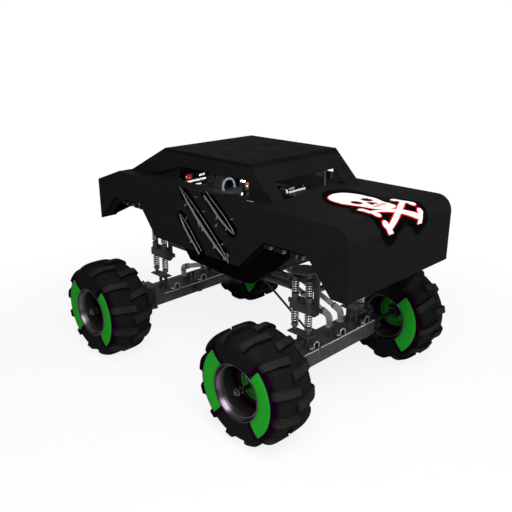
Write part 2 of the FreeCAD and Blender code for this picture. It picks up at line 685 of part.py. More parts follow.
# height, radius of one coil-over from the spring pad to the tower's disc; None marks a coil
COILOVER_STEPS = (
    (PAD_Z, 24.0), (430.0, 52.0), (480.0, None), (700.0, SHOCK_BODY_RADIUS), (882.0, 52.0),
    (960.0, None), (1170.0, 50.0), (1220.0, 24.0), (TOWER_TOP_Z - DISC_THICKNESS, 0.0),
)


def shock_towers(sign, beam_x):
    w, shock = TOWER_HALF_WIDTH, SHOCK_SPACING / 2
    right = [(beam_x + w - offset, z) for offset, z in TOWER_OUTLINE]
    left = [(beam_x - w + offset, z) for offset, z in reversed(TOWER_OUTLINE)]
    y0, y1 = TOWER_PLATE_Y, TOWER_PLATE_Y + TOWER_PLATE
    window = block(beam_x - shock - 33, beam_x + shock + 33, y0 - 1, y1 + 1, *WINDOW_Z)
    plate = side_prism(right + left, y0, y1).cut(window)
    under_disc = TOWER_TOP_Z - DISC_THICKNESS
    disc = post(beam_x, (y0 + SHOCK_Y) / 2, under_disc, TOWER_TOP_Z, TOWER_DISC_RADIUS)
    cap = block(beam_x - 150, beam_x + 190, y0 - 90, y1, CAP_Z, under_disc)
    clamp = block(beam_x - shock - 58, beam_x + shock + 58, y1, SHOCK_Y + CLAMP_REACH, *CLAMP_Z)
    tower = fuse([plate, disc, cap, clamp])
    for offset in (-shock, shock):
        tower = tower.cut(
            post(beam_x + offset, SHOCK_Y, CLAMP_Z[0] - 1, CLAMP_Z[1] + 1, SHOCK_BODY_RADIUS + RUNNING_GAP))
    # cross tube between the two towers, with the tow eye on its outer side
    cross_x, z = beam_x + sign * TOWER_CROSS_X, TOWER_CROSS_Z
    half, reach = TOW_LUG_THICKNESS / 2, cross_x + sign * TOW_REACH
    x0, x1 = sorted((cross_x, reach))
    bar = rod((cross_x, -y0, z), (cross_x, y0, z), CROSS_RADIUS)
    lug = rod((reach, -half, z), (reach, half, z), TOW_EYE_RADIUS)
    neck = block(x0, x1, -half, half, z - CROSS_RADIUS, z + CROSS_RADIUS)
    eye = rod((reach, -half - 1, z), (reach, half + 1, z), TOW_BORE_RADIUS)
    return fuse([tower, mirrored(tower), bar, lug, neck]).cut(eye)


def coilover(x, y):
    """One column: eye, perch, spring, body, perch, spring and the rod up to the tower's disc."""
    outline = [(COILOVER_STEPS[0][0], 0.0)]
    for (z0, radius), (z1, _) in zip(COILOVER_STEPS, COILOVER_STEPS[1:]):
        if radius is None:
            pitch, root = (z1 - z0) / COIL_TURNS, COIL_RADIUS - COIL_GROOVE
            outline.append((z0, root))
            for turn in range(COIL_TURNS):
                base = z0 + turn * pitch
                outline += [(base + 0.3 * pitch, COIL_RADIUS), (base + 0.7 * pitch, COIL_RADIUS)]
                outline.append((base + pitch, root))
        else:
            outline += [(z0, radius), (z1, radius)]
    outline.append((COILOVER_STEPS[-1][0], 0.0))
    return upright(outline, x, y)


def coilovers(beam_x):
    return Part.makeCompound([
        coilover(beam_x + offset, side * SHOCK_Y)
        for _, side in SIDES for offset in (-SHOCK_SPACING / 2, SHOCK_SPACING / 2)
    ])


# ---------------------------------------------------------------- axles, links and steering
TOP_PLATE = 20.0
TOP_PLATE_LIP = 12.0
EAR_UPPER_Z = BEAM_TOP_Z + EAR_RISE              # under side of the upper ear
EAR_LOWER_Z = BEAM_BOTTOM_Z - EAR_DROP           # top of the lower ear
EAR_HALF_ROOT = 140.0
EAR_HALF_END = 100.0
EAR_ROOT = 90.0                                  # length of the ear over the beam
PAD_IN = 85.0                                    # spring pad, inside and outside the shocks' line
PAD_OUT = 85.0
PAD_POSTS = (-80.0, 80.0)                        # its posts, along X from the beam's middle
PAD_POST_RADIUS = 30.0
EYE_WALL = 18.0
LINK_FOOT_FLANGE = 16.0
LINK_CORNER_Z = 295.0
LINK_COLLAR = (130.0, 160.0)                     # from the elbow's corner
UPPER_EYE_HALF = 55.0
OUTER_FOOT_Y = SHOCK_Y - PAD_IN - LINK_RADIUS - 6.0
# polished upper links of each axle: y of the foot, y of the upper eye
UPPER_LINKS = {"front": ((220.0, 200.0), (OUTER_FOOT_Y, 430.0)), "rear": ((0.0, 60.0), (480.0, 430.0))}
TIE_ROD_Z = -118.0
TIE_EYE_RADIUS = 40.0
TIE_EYE_HALF = 22.0
ARM_THICKNESS = 30.0
ARM_Z = TIE_ROD_Z - TIE_EYE_HALF - SIDE_GAP - ARM_THICKNESS      # under side of the steering arm
HOUSING_HALF = 95.0
LAMP_X = 70.0                                    # lamps with hoop guards along the beam's top
LAMP_Y = 680.0
LAMP_SETBACK = 80.0                              # lamp behind its hoop
HOOP = (60.0, 46.0, 15.0)                        # outer radius, inner radius, half thickness
LAMP_STEPS = ((0.0, 40.0), (26.0, 40.0), (60.0, 20.0), (78.0, 0.0))


def yoke(beam_x):
    """Upper and lower ears of the left kingpin, with the pin and its cap."""
    y0, y1 = BEAM_HALF_LENGTH - EAR_ROOT, KINGPIN_Y
    upper = (EAR_UPPER_Z, EAR_UPPER_Z + EAR_THICKNESS)
    lower = (EAR_LOWER_Z - EAR_THICKNESS, EAR_LOWER_Z)
    root, end, over = EAR_HALF_ROOT, EAR_HALF_END, 5
    cap = [(upper[1], 62), (upper[1] + 26, 62), (upper[1] + 78, 26), (upper[1] + 92, 26)]
    parts = [
        block(beam_x - end, beam_x + end, y0, BEAM_HALF_LENGTH, BEAM_TOP_Z - over, upper[1]),
        block(beam_x - end, beam_x + end, y0, BEAM_HALF_LENGTH, lower[0], BEAM_BOTTOM_Z + over),
        post(beam_x, y1, lower[0], upper[1], KINGPIN_RADIUS),
        upright([(upper[1], 0)] + cap + [(upper[1] + 92, 0)], beam_x, y1),
    ]
    for z0, z1 in (upper, lower):
        ear = [(beam_x - root, y0), (beam_x + root, y0), (beam_x + end, y1), (beam_x - end, y1)]
        parts += [plan_prism(ear, z0, z1), post(beam_x, y1, z0, z1, end)]
    return parts


def beam_lamp(x, y):
    """A small lamp on the beam's top under an arched hoop."""
    outer, inner, half = HOOP
    rise = outer + 30
    hoop = fuse([rod((x - half, y, rise), (x + half, y, rise), outer),
                 block(x - half, x + half, y - outer, y + outer, 0, rise)])
    hoop = hoop.cut([rod((x - half - 1, y, rise), (x + half + 1, y, rise), inner),
                     block(x - half - 1, x + half + 1, y - inner, y + inner, -1, rise)])
    lamp = upright([(0.0, 0.0)] + list(LAMP_STEPS), x - LAMP_SETBACK, y)
    return [shape.translated(Vector(0, 0, BEAM_TOP_Z)) for shape in (hoop, lamp)]


def axle_beam(sign, beam_x):
    half, long, lip = BEAM_DEPTH / 2, BEAM_HALF_LENGTH, BEAM_DEPTH / 2 + TOP_PLATE_LIP
    inner = beam_x - sign * half
    pinion_end = inner - sign * PINION_LENGTH
    parts = [
        block(beam_x - half, beam_x + half, -long, long, BEAM_BOTTOM_Z, BEAM_TOP_Z - TOP_PLATE),
        block(beam_x - lip, beam_x + lip, -long, long, BEAM_TOP_Z - TOP_PLATE, BEAM_TOP_Z),
    ]
    for y in (-LAMP_Y, 0.0, LAMP_Y):
        parts += beam_lamp(beam_x + LAMP_X, y)
    pad = SHOCK_SPACING / 2 + 73
    for _, side in SIDES:
        shapes = yoke(beam_x)
        # spring pad on its posts
        shapes.append(block(
            beam_x - pad, beam_x + pad, SHOCK_Y - PAD_IN, SHOCK_Y + PAD_OUT, PAD_Z - TOP_PLATE, PAD_Z))
        for offset in PAD_POSTS:
            x, y = beam_x + offset, SHOCK_Y - PAD_IN + 1.5 * PAD_POST_RADIUS
            shapes.append(post(x, y, BEAM_TOP_Z - 1, PAD_Z - 1, PAD_POST_RADIUS))
            shapes.append(post(x, y, BEAM_TOP_Z - 1, BEAM_TOP_Z + 16, PAD_POST_RADIUS + 18))
        parts += [sided(shape, side) for shape in shapes]
    beam = fuse(parts)
    return Part.makeCompound(
        [beam, rod((inner, 0, PINION_Z), (pinion_end, 0, PINION_Z), PINION_RADIUS).cut(beam)])


def upper_link(sign, beam_x, foot_y, eye_y):
    foot_x, pivot_x = beam_x - LINK_FOOT_OFFSET, MID_X + sign * CRADLE_X
    pivot, corner = Vector(pivot_x, eye_y, CRADLE_Z), Vector(foot_x, foot_y, LINK_CORNER_Z)
    back = (pivot - corner).normalize()
    collar_start, collar_end = (tuple(corner + back * reach) for reach in LINK_COLLAR)
    eye_y0, eye_y1 = eye_y - UPPER_EYE_HALF, eye_y + UPPER_EYE_HALF
    eye = rod((pivot_x, eye_y0, pivot.z), (pivot_x, eye_y1, pivot.z), CROSS_RADIUS + EYE_WALL)
    bore = rod((pivot_x, eye_y0 - 35, pivot.z), (pivot_x, eye_y1 + 35, pivot.z), CROSS_RADIUS + RUNNING_GAP)
    parts = [
        bent_tube([pivot, corner, (foot_x, foot_y, BEAM_TOP_Z)], LINK_RADIUS, LINK_BEND), eye,
        rod(collar_start, collar_end, LINK_RADIUS + 8),
        post(foot_x, foot_y, BEAM_TOP_Z, BEAM_TOP_Z + 14, LINK_RADIUS + LINK_FOOT_FLANGE),
    ]
    return fuse(parts).cut(bore)


def links(name, sign, beam_x):
    return Part.makeCompound(
        [upper_link(sign, beam_x, foot_y, eye_y) for foot_y, eye_y in UPPER_LINKS[name]])


def knuckle(wheel_x, beam_x):
    """Left knuckle: barrel on the kingpin, hub housing, spindle and steering arm."""
    y, z0, z1 = KINGPIN_Y, EAR_LOWER_Z + SIDE_GAP, EAR_UPPER_Z - SIDE_GAP
    end_x, toward = beam_x - STEER_ARM, math.copysign(1, wheel_x - beam_x)
    x0, x1 = sorted((beam_x - toward * 60, wheel_x + toward * 70))
    arm = [(beam_x, y - 50), (end_x, y - 34), (end_x, y + 34), (beam_x, y + 50)]
    arm_top, pin_top = ARM_Z + ARM_THICKNESS, TIE_ROD_Z + TIE_EYE_HALF + 3
    parts = [
        post(beam_x, y, z0, z1, BARREL_RADIUS),
        block(x0, x1, y + 30, y + 130, -HOUSING_HALF, HOUSING_HALF),
        rod((wheel_x, y + 45, 0), (wheel_x, WHEEL_HALF_TRACK - 155, 0), HUB_HOUSING_RADIUS),
        rod((wheel_x, y + 45, 0), (wheel_x, WHEEL_HALF_TRACK + 65, 0), SPINDLE_RADIUS),
        plan_prism(arm, ARM_Z, arm_top), post(end_x, y, ARM_Z, arm_top, 34),
        post(end_x, y, ARM_Z, pin_top, TIE_PIN_RADIUS),
        post(end_x, y, pin_top, pin_top + 14, TIE_PIN_RADIUS + 9),
    ]
    bore = post(beam_x, y, z0 - 1, z1 + 1, KINGPIN_RADIUS + RUNNING_GAP)
    return fuse(parts).cut(bore)


def tie_rod(beam_x):
    """Track rod behind the beam: its left eye is hinged, its right eye has free play."""
    x, z = beam_x - STEER_ARM, TIE_ROD_Z
    low, high = z - TIE_EYE_HALF, z + TIE_EYE_HALF
    parts = [rod((x, -KINGPIN_Y, z), (x, KINGPIN_Y, z), TIE_ROD_RADIUS)]
    for _, side in SIDES:
        parts.append(post(x, side * KINGPIN_Y, low, high, TIE_EYE_RADIUS))
        start, end = side * (KINGPIN_Y - 210), side * (KINGPIN_Y - 60)
        parts.append(rod((x, start, z), (x, end, z), TIE_ROD_RADIUS + 7))
    bores = [
        post(x, KINGPIN_Y, low - 1, high + 1, TIE_PIN_RADIUS + RUNNING_GAP),
        post(x, -KINGPIN_Y, low - 1, high + 1, TIE_PIN_RADIUS + SIDE_GAP),
    ]
    return fuse(parts).cut(bores)


# ---------------------------------------------------------------- wheels, built for the left
BEAD = RIM_HALF_WIDTH - 10.0
TREAD_EDGE = TYRE_HALF_WIDTH - 3.0
SHOULDER_RADIUS = TYRE_RADIUS - TYRE_SHOULDER_DROP
SIDEWALL_RADIUS = SHOULDER_RADIUS - 120.0
HUB_RADIUS = 120.0
CENTRE_RIB = 16.0
POCKET_RADIUS = 26.0
POCKET_SPAN = (175.0, 245.0)        # centres of a pocket's round ends
POCKET_DEPTH = 14.0
CENTRE_RING = (288.0, 348.0, 14.0)  # inner radius, outer radius, rise on each face
# (offset from the wheel's middle, radius) of the hub and its cap, from inside to outside
HUB_STEPS = ((-75.0, HUB_RADIUS), (45.0, 75.0), (140.0, 45.0), (330.0, 62.0), (368.0, 34.0), (392.0, 0.0))
HUB_BORE_END = 70.0


def tyre(wheel_x):
    barrel, lip = RIM_BARREL_RADIUS, RIM_LIP_RADIUS
    right_side = [
        (-TREAD_EDGE, SHOULDER_RADIUS), (-TYRE_HALF_WIDTH, SIDEWALL_RADIUS),
        (-TYRE_HALF_WIDTH + 8, lip + 16), (-BEAD, lip + 2), (-BEAD, barrel),
    ]
    left_side = [(-y, r) for y, r in reversed(right_side)]
    points = [Vector(0, y, r) for y, r in right_side + left_side]
    crest = Part.Arc(points[-1], Vector(0, 0, TYRE_RADIUS), points[0]).toShape()
    ring = Part.Face(Part.Wire(Part.makePolygon(points).Edges + [crest]))
    solid = ring.revolve(Vector(0, 0, 0), Vector(0, 1, 0), 360)
    return solid.translated(Vector(wheel_x, WHEEL_HALF_TRACK, 0))


def rim(wheel_x):
    """Barrel between two flanges, with a shallow well on each side of its middle."""
    edge, bead, outer = RIM_HALF_WIDTH, BEAD, RIM_BARREL_RADIUS
    inner, lip, well = RIM_BARREL_RADIUS - RIM_WALL, RIM_LIP_RADIUS, RIM_WELL_DEPTH
    side = [(-edge, lip), (-edge, inner + 6), (-edge + 14, inner), (-300, inner), (-270, inner - well),
            (-120, inner - well), (-90, inner)]
    outline = side + [(-y, r) for y, r in reversed(side)]
    outline += [(bead, lip), (bead, outer), (-bead, outer), (-bead, lip)]
    return turned(outline, wheel_x, WHEEL_HALF_TRACK)


def wheel_centre(wheel_x):
    """Disc with a raised ring, pockets in both faces, radial ribs between them, and the stepped hub."""
    half, outer = CENTRE_THICKNESS / 2, RIM_BARREL_RADIUS - RIM_WALL
    bore = SPINDLE_RADIUS + RUNNING_GAP
    ring_in, ring_out, rise = CENTRE_RING
    section = [(half, bore), (half, ring_in), (half + rise, ring_in + rise), (half + rise, ring_out - rise),
               (half, ring_out), (half, outer)]
    disc = turned([(-y, r) for y, r in section] + section[::-1], 0, 0)
    outline = stepped(HUB_STEPS, bore)[:-1] + [(HUB_STEPS[-1][0], 0), (HUB_BORE_END, 0), (HUB_BORE_END, bore)]
    pockets, ribs = [], []
    near, far = POCKET_SPAN
    for index in range(CENTRE_POCKETS):
        angle = index * 360 / CENTRE_POCKETS
        for start, end in ((half - POCKET_DEPTH, half + 1), (-half - 1, POCKET_DEPTH - half)):
            pocket = fuse([block(-POCKET_RADIUS, POCKET_RADIUS, start, end, near, far)] + [
                rod((0, start, z), (0, end, z), POCKET_RADIUS) for z in POCKET_SPAN])
            pocket.rotate(Vector(0, 0, 0), Vector(0, 1, 0), angle)
            pockets.append(pocket)
        rib = block(-CENTRE_RIB / 2, CENTRE_RIB / 2, half - 1, half + CENTRE_RIB, HUB_RADIUS - 20, ring_in + 8)
        rib.rotate(Vector(0, 0, 0), Vector(0, 1, 0), angle + 180 / CENTRE_POCKETS)
        ribs.append(rib)
    centre = fuse([disc.cut(pockets), turned(outline, 0, 0)] + ribs)
    return centre.translated(Vector(wheel_x, WHEEL_HALF_TRACK, 0))


# ---------------------------------------------------------------- the whole truck
def build():
    nodes = {}
    nodes.update(body_panels())
    nodes.update(cabin_panels())
    for word, side in SIDES:
        nodes["side_skirt_" + word] = skirt(side)
    nodes["chassis_frame"] = chassis_frame()
    nodes["roll_cage"] = roll_cage()
    nodes["floor_pan"] = floor_pan()
    nodes["engine"] = engine()
    nodes["blower"] = blower()
    nodes["transfer_case"] = transfer_case()
    nodes["driveshafts"] = driveshafts()
    nodes["seat"] = seat()
    nodes["steering_wheel"] = steering_wheel()
    for name, sign, wheel_x, beam_x in AXLES:
        nodes[name + "_shock_towers"] = shock_towers(sign, beam_x)
        nodes[name + "_coilovers"] = coilovers(beam_x)
        nodes[name + "_axle_beam"] = axle_beam(sign, beam_x)
        nodes[name + "_links"] = links(name, sign, beam_x)
        nodes["tie_rod_" + name] = tie_rod(beam_x)
        for word, side in SIDES:
            corner = name + "_" + word
            nodes["knuckle_" + corner] = sided(knuckle(wheel_x, beam_x), side)
            nodes["tyre_" + corner] = sided(tyre(wheel_x), side)
            nodes["rim_" + corner] = sided(rim(wheel_x), side)
            nodes["wheel_centre_" + corner] = sided(wheel_centre(wheel_x), side)
    return nodes


def main():
    os.makedirs("parts", exist_ok=True)
    for name, shape in build().items():
        shape.translated(Vector(0, 0, TYRE_RADIUS)).exportStep("parts/" + name + ".step")


main()
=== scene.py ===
import json
import math
from contextlib import contextmanager

import bmesh
import bpy
from bpy.props import FloatProperty, FloatVectorProperty, IntProperty, PointerProperty
from mathutils import Matrix, Vector
from mathutils.bvhtree import BVHTree


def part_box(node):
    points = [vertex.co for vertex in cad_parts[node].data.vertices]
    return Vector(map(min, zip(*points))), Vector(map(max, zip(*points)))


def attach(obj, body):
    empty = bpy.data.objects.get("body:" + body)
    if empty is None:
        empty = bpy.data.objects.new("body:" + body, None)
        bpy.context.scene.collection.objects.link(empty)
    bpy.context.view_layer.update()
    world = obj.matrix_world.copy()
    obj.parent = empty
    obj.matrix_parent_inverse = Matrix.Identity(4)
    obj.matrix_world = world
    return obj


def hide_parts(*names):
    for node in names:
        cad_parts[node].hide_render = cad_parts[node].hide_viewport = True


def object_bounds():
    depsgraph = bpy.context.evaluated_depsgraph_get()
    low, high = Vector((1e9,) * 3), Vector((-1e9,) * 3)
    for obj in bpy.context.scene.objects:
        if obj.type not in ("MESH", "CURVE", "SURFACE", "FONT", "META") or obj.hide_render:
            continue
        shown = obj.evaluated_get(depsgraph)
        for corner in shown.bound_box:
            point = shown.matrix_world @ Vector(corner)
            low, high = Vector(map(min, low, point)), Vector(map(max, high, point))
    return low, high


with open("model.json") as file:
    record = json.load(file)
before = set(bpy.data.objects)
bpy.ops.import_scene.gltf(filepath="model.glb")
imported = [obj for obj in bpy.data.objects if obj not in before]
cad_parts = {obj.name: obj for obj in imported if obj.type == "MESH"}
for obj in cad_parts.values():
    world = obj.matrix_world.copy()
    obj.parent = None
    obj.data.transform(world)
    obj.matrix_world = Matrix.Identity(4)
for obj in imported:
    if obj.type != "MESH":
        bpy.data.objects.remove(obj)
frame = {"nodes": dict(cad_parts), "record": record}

bl_info = {
    "name": "Monster truck",
    "version": (1, 0, 0),
    "blender": (4, 5, 0),
    "location": "3D View > Sidebar > Truck",
    "description": "Builds the visible pieces of a monster truck round its packed model",
    "category": "Object",
}

CAD_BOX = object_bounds()
RECORD = frame["record"]
BODY_OF = {node: body for body, nodes in RECORD["behaviour"]["bodies"].items() for node in nodes}
CORNERS = ("front_left", "front_right", "rear_left", "rear_right")
ENDS, SIDES = ("front", "rear"), ("left", "right")


def centre(node):
    """Middle of a node's box."""
    low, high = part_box(node)
    return (low + high) / 2


WHEEL_RADIUS = (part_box("tyre_front_left")[1].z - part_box("tyre_front_left")[0].z) / 2
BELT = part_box("rear_deck")[1].z                            # top of the body's flanks
BODY_HALF_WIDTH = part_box("side_panel_left")[1].y


# ---------------------------------------------------------------- settings
class BodySettings(bpy.types.PropertyGroup):
    edge: FloatProperty(
        name="Edge rounding", description="Rounding of the panels' edges", default=0.009, min=0.001, unit="LENGTH")
    seam_width: FloatProperty(
        name="Seam width", description="Width of a scored seam", default=0.007, min=0.001, unit="LENGTH")
    seam_depth: FloatProperty(
        name="Seam depth", description="Depth of a scored seam", default=0.004, min=0.0, unit="LENGTH")
    black: FloatVectorProperty(
        name="Body colour", description="Satin paint of the body", subtype="COLOR",
        default=(0.0078, 0.0078, 0.0080), min=0, max=1)
    ornament_white: FloatVectorProperty(
        name="Ornament colour", description="Fill of the skull and bones", subtype="COLOR",
        default=(0.95, 0.95, 0.95), min=0, max=1)
    ornament_red: FloatVectorProperty(
        name="Ornament outline", description="Outline of the skull and bones", subtype="COLOR",
        default=(0.75, 0.004, 0.008), min=0, max=1)
    outline: FloatProperty(
        name="Outline width", description="Width of the outline round the skull and bones", default=0.018,
        min=0.001, unit="LENGTH")
    silver: FloatVectorProperty(
        name="Claw marks", description="Torn lips of the claw marks", subtype="COLOR",
        default=(0.30, 0.30, 0.31), min=0, max=1)


class WheelSettings(bpy.types.PropertyGroup):
    lugs: IntProperty(name="Lugs", description="Tread lugs in each row", default=12, min=6)
    lug_height: FloatProperty(
        name="Lug height", description="Height of a lug above the carcass", default=0.052, min=0.01, unit="LENGTH")
    lug_width: FloatProperty(
        name="Lug width", description="Width of a lug at its foot", default=0.150, min=0.02, unit="LENGTH")
    rubber: FloatVectorProperty(
        name="Rubber colour", description="Tread and sidewall", subtype="COLOR",
        default=(0.0082, 0.0082, 0.0083), min=0, max=1)
    green: FloatVectorProperty(
        name="Green", description="Painted arcs and wheel centres", subtype="COLOR",
        default=(0.015, 0.27, 0.018), min=0, max=1)


class SpringSettings(bpy.types.PropertyGroup):
    turns: IntProperty(name="Turns", description="Turns of each coil spring", default=5, min=3)
    wire: FloatProperty(
        name="Wire radius", description="Radius of the spring wire", default=0.0115, min=0.002, unit="LENGTH")


class StageSettings(bpy.types.PropertyGroup):
    lens: FloatProperty(name="Lens", description="Focal length in mm", default=43.71, min=10)
    world: FloatProperty(name="Sky strength", description="Soft light from all round", default=0.36, min=0)
    key: FloatProperty(name="Key light", description="Power of the large lamp overhead", default=1500.0, min=0)
    cabin: FloatProperty(name="Cabin light", description="Power of the lamps in the cabin", default=34.0, min=0)
    fill: FloatProperty(name="Fill light", description="Power of the lamp at the side", default=160.0, min=0)


# ---------------------------------------------------------------- working on pieces
def deselect():
    """Leave edit mode and select nothing."""
    if bpy.context.object and bpy.context.object.mode != "OBJECT":
        bpy.ops.object.mode_set(mode="OBJECT")
    bpy.ops.object.select_all(action="DESELECT")


def select(*pieces):
    """Select just these pieces and make the first one active."""
    deselect()
    for piece in pieces:
        piece.select_set(True)
    bpy.context.view_layer.objects.active = pieces[0]


@contextmanager
def shaping(piece, kind="FACE"):
    """Edit mode on one piece, with nothing selected."""
    select(piece)
    bpy.ops.object.mode_set(mode="EDIT")
    bpy.ops.mesh.select_mode(type=kind)
    bpy.ops.mesh.select_all(action="DESELECT")
    yield
    bpy.ops.object.mode_set(mode="OBJECT")


def pick(test, kind="FACE"):
    """In edit mode, select just the vertices, edges or faces that pass the test."""
    bpy.ops.mesh.select_mode(type=kind)
    bpy.ops.mesh.select_all(action="DESELECT")
    data = bpy.context.object.data
    mesh = bmesh.from_edit_mesh(data)
    for item in {"FACE": mesh.faces, "EDGE": mesh.edges, "VERT": mesh.verts}[kind]:
        if test(item):
            item.select_set(True)
    mesh.select_flush_mode()
    bmesh.update_edit_mesh(data)


def middle(item):
    """Middle of an edge or face."""
    return sum((vertex.co for vertex in item.verts), Vector()) / len(item.verts)


def added(name, operator, **settings):
    """A new primitive at its size and place, with that place in its mesh."""
    deselect()
    operator(**settings)
    piece = bpy.context.object
    piece.name = piece.data.name = name
    bpy.ops.object.transform_apply(location=True, rotation=True, scale=True)
    return piece


def block(name, low, high):
    """A cube between two corners."""
    low, high = Vector(low), Vector(high)
    return added(name, bpy.ops.mesh.primitive_cube_add, size=1, location=(low + high) / 2, scale=high - low)


def sliced(place, normal, **settings):
    """In edit mode, cut everything along a plane."""
    bpy.ops.mesh.select_all(action="SELECT")
    bpy.ops.mesh.bisect(plane_co=place, plane_no=normal, **settings)


def rounded(piece, width, segments=2, angle=30):
    """Bevel every edge sharper than the angle."""
    select(piece)
    bpy.ops.object.modifier_add(type="BEVEL")
    bevel = piece.modifiers[-1]
    bevel.width, bevel.segments = width, segments
    bevel.limit_method, bevel.angle_limit = "ANGLE", math.radians(angle)
    bpy.ops.object.modifier_apply(modifier=bevel.name)
    return piece


def box_piece(low, high, ease=0.006, segments=2):
    """A box with eased edges."""
    return rounded(block("box", low, high), ease, segments)


def smooth(piece, angle=35, weighted=True):
    """Shade smooth up to the angle, with large faces leading."""
    select(piece)
    bpy.ops.object.shade_smooth_by_angle(angle=math.radians(angle))
    if weighted:
        bpy.ops.object.modifier_add(type="WEIGHTED_NORMAL")
        piece.modifiers[-1].keep_sharp = True
        bpy.ops.object.modifier_apply(modifier=piece.modifiers[-1].name)
    return piece


def tidy(piece):
    """Merge doubles and turn every face outwards."""
    with shaping(piece):
        bpy.ops.mesh.select_all(action="SELECT")
        bpy.ops.mesh.remove_doubles(threshold=0.00005)
        bpy.ops.mesh.normals_make_consistent(inside=False)
    return piece


def twin(piece, name, matrix):
    """A copy with its own mesh, moved by the matrix."""
    copy = bpy.data.objects.new(name, piece.data.copy())
    bpy.context.scene.collection.objects.link(copy)
    copy.data.transform(matrix)
    if matrix.determinant() < 0:
        copy.data.flip_normals()
    return copy


def joined(name, pieces):
    """One piece out of several."""
    select(*pieces)
    bpy.ops.object.join()
    piece = bpy.context.object
    piece.name = piece.data.name = name
    return piece


def plate(name, outline, thick=0.0):
    """A flat plate: a filled circle with its points moved onto the outline, then extruded upwards."""
    piece = added(name, bpy.ops.mesh.primitive_circle_add, vertices=len(outline), radius=1, fill_type="NGON")
    for vertex, point in zip(piece.data.vertices, outline):
        vertex.co = (*point, 0.0)
    if thick:
        with shaping(piece):
            bpy.ops.mesh.select_all(action="SELECT")
            bpy.ops.mesh.extrude_region_move(TRANSFORM_OT_translate={"value": (0, 0, thick)})
    return tidy(piece)


def laid(piece, place):
    """Move every point of a piece to where place() puts it, and turn its faces outwards again."""
    for vertex in piece.data.vertices:
        vertex.co = place(vertex.co)
    return tidy(piece)


def fitting(name, pieces, material, node, angle=35, stands_for=()):
    """Join loose pieces into one finished piece that rides with a node's body."""
    return finished(smooth(joined(name, pieces), angle), material, node, stands_for)


def stripped(piece, test):
    """Take away the faces that pass the test and close the holes they leave."""
    with shaping(piece):
        pick(test)
        bpy.ops.mesh.delete(type="FACE")
        bpy.ops.mesh.select_all(action="SELECT")
        bpy.ops.mesh.fill_holes(sides=0)
    return tidy(piece)


AXES = {"X": Vector((1, 0, 0)), "Y": Vector((0, 1, 0)), "Z": Vector((0, 0, 1))}
TURN = {"X": (0, math.pi / 2, 0), "Y": (-math.pi / 2, 0, 0), "Z": (0, 0, 0)}


def turned(name, steps, at, axis="Z", sides=48, closed=False):
    """A lathe-turned piece: a circle extruded and scaled through (place along the axis, radius) steps.
    A radius of 0 closes an end to a point, and closed joins the last step to the first."""
    at, along = Vector(at), AXES[axis]
    first_pole, last_pole = steps[0][1] == 0, steps[-1][1] == 0
    rings = [step for step in steps if step[1] > 0]
    place, radius = rings[0]
    piece = added(name, bpy.ops.mesh.primitive_circle_add, vertices=sides, radius=radius,
                  location=at + along * place, rotation=TURN[axis])

    def grow(reach, scale, pivot):
        bpy.ops.mesh.extrude_region_move(TRANSFORM_OT_translate={"value": along * reach})
        bpy.ops.transform.resize(value=(scale,) * 3, center_override=pivot)

    with shaping(piece, "EDGE"):
        bpy.ops.mesh.select_all(action="SELECT")
        for (start, wide), (end, next_wide) in zip(rings, rings[1:] + (rings[:1] if closed else [])):
            grow(end - start, next_wide / wide, at + along * end)
        if last_pole:
            grow(steps[-1][0] - rings[-1][0], 0.5, at + along * steps[-1][0])
            bpy.ops.mesh.merge(type="CENTER")
        if first_pole:
            pick(lambda edge: len(edge.link_faces) == 1, "EDGE")
            grow(steps[0][0] - place, 0.5, at + along * steps[0][0])
            bpy.ops.mesh.merge(type="CENTER")
    return tidy(piece)


def stretched(name, start, end, radius, sides=24):
    """A round bar between two points."""
    start, end = Vector(start), Vector(end)
    turn = (end - start).to_track_quat("Z", "Y").to_euler()
    return added(name, bpy.ops.mesh.primitive_cylinder_add, vertices=sides, radius=radius,
                 depth=(end - start).length, location=(start + end) / 2, rotation=turn)


def swept(name, steps, start, corner, end, bend, sides=24):
    """A round bar along a path with one rounded corner, through (run along the path, radius) steps."""
    start, corner, end = Vector(start), Vector(corner), Vector(end)
    back, ahead = (start - corner).normalized(), (end - corner).normalized()
    half = (math.pi - back.angle(ahead)) / 2
    cut = bend * math.tan(half)
    first, arc = (corner - start).length - cut, bend * 2 * half
    hub = corner + (back + ahead).normalized() * bend / math.cos(half)
    axis = (-back).cross(ahead).normalized()

    def place(point):
        run = point.z
        turn = min(max(run - first, 0.0), arc) / bend
        swing = Matrix.Rotation(turn, 3, axis)
        at = hub + swing @ (corner + back * cut - hub)
        heading = swing @ -back
        at += heading * (min(run - first, 0.0) + max(run - first - arc, 0.0))
        return at + axis * point.x + heading.cross(axis) * point.y

    rings = [steps[0]]
    for (run, wide), (next_run, next_wide) in zip(steps, steps[1:]):
        count = max(1, math.ceil((min(next_run, first + arc) - max(run, first)) / 0.02))
        rings += [(run + (next_run - run) * share / count, wide + (next_wide - wide) * share / count)
                  for share in range(1, count + 1)]
    return laid(turned(name, rings, (0, 0, 0), "Z", sides), place)


def carried(node, suffix):
    """A working copy of a CAD node, its loose triangles merged and its flat faces joined."""
    piece = bpy.data.objects.new(node + suffix, frame["nodes"][node].data.copy())
    bpy.context.scene.collection.objects.link(piece)
    piece.data.materials.clear()
    with shaping(piece):
        bpy.ops.mesh.customdata_custom_splitnormals_clear()
        bpy.ops.mesh.select_all(action="SELECT")
        bpy.ops.mesh.remove_doubles(threshold=0.00005)
        bpy.ops.mesh.dissolve_limited(angle_limit=math.radians(0.4))
    return piece


def finished(piece, material, node, stands_for=()):
    """Give the piece its material, slot and body."""
    piece.data.materials.clear()
    piece.data.materials.append(material)
    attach(piece, BODY_OF[node])
    if stands_for:
        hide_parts(*stands_for)
    return piece


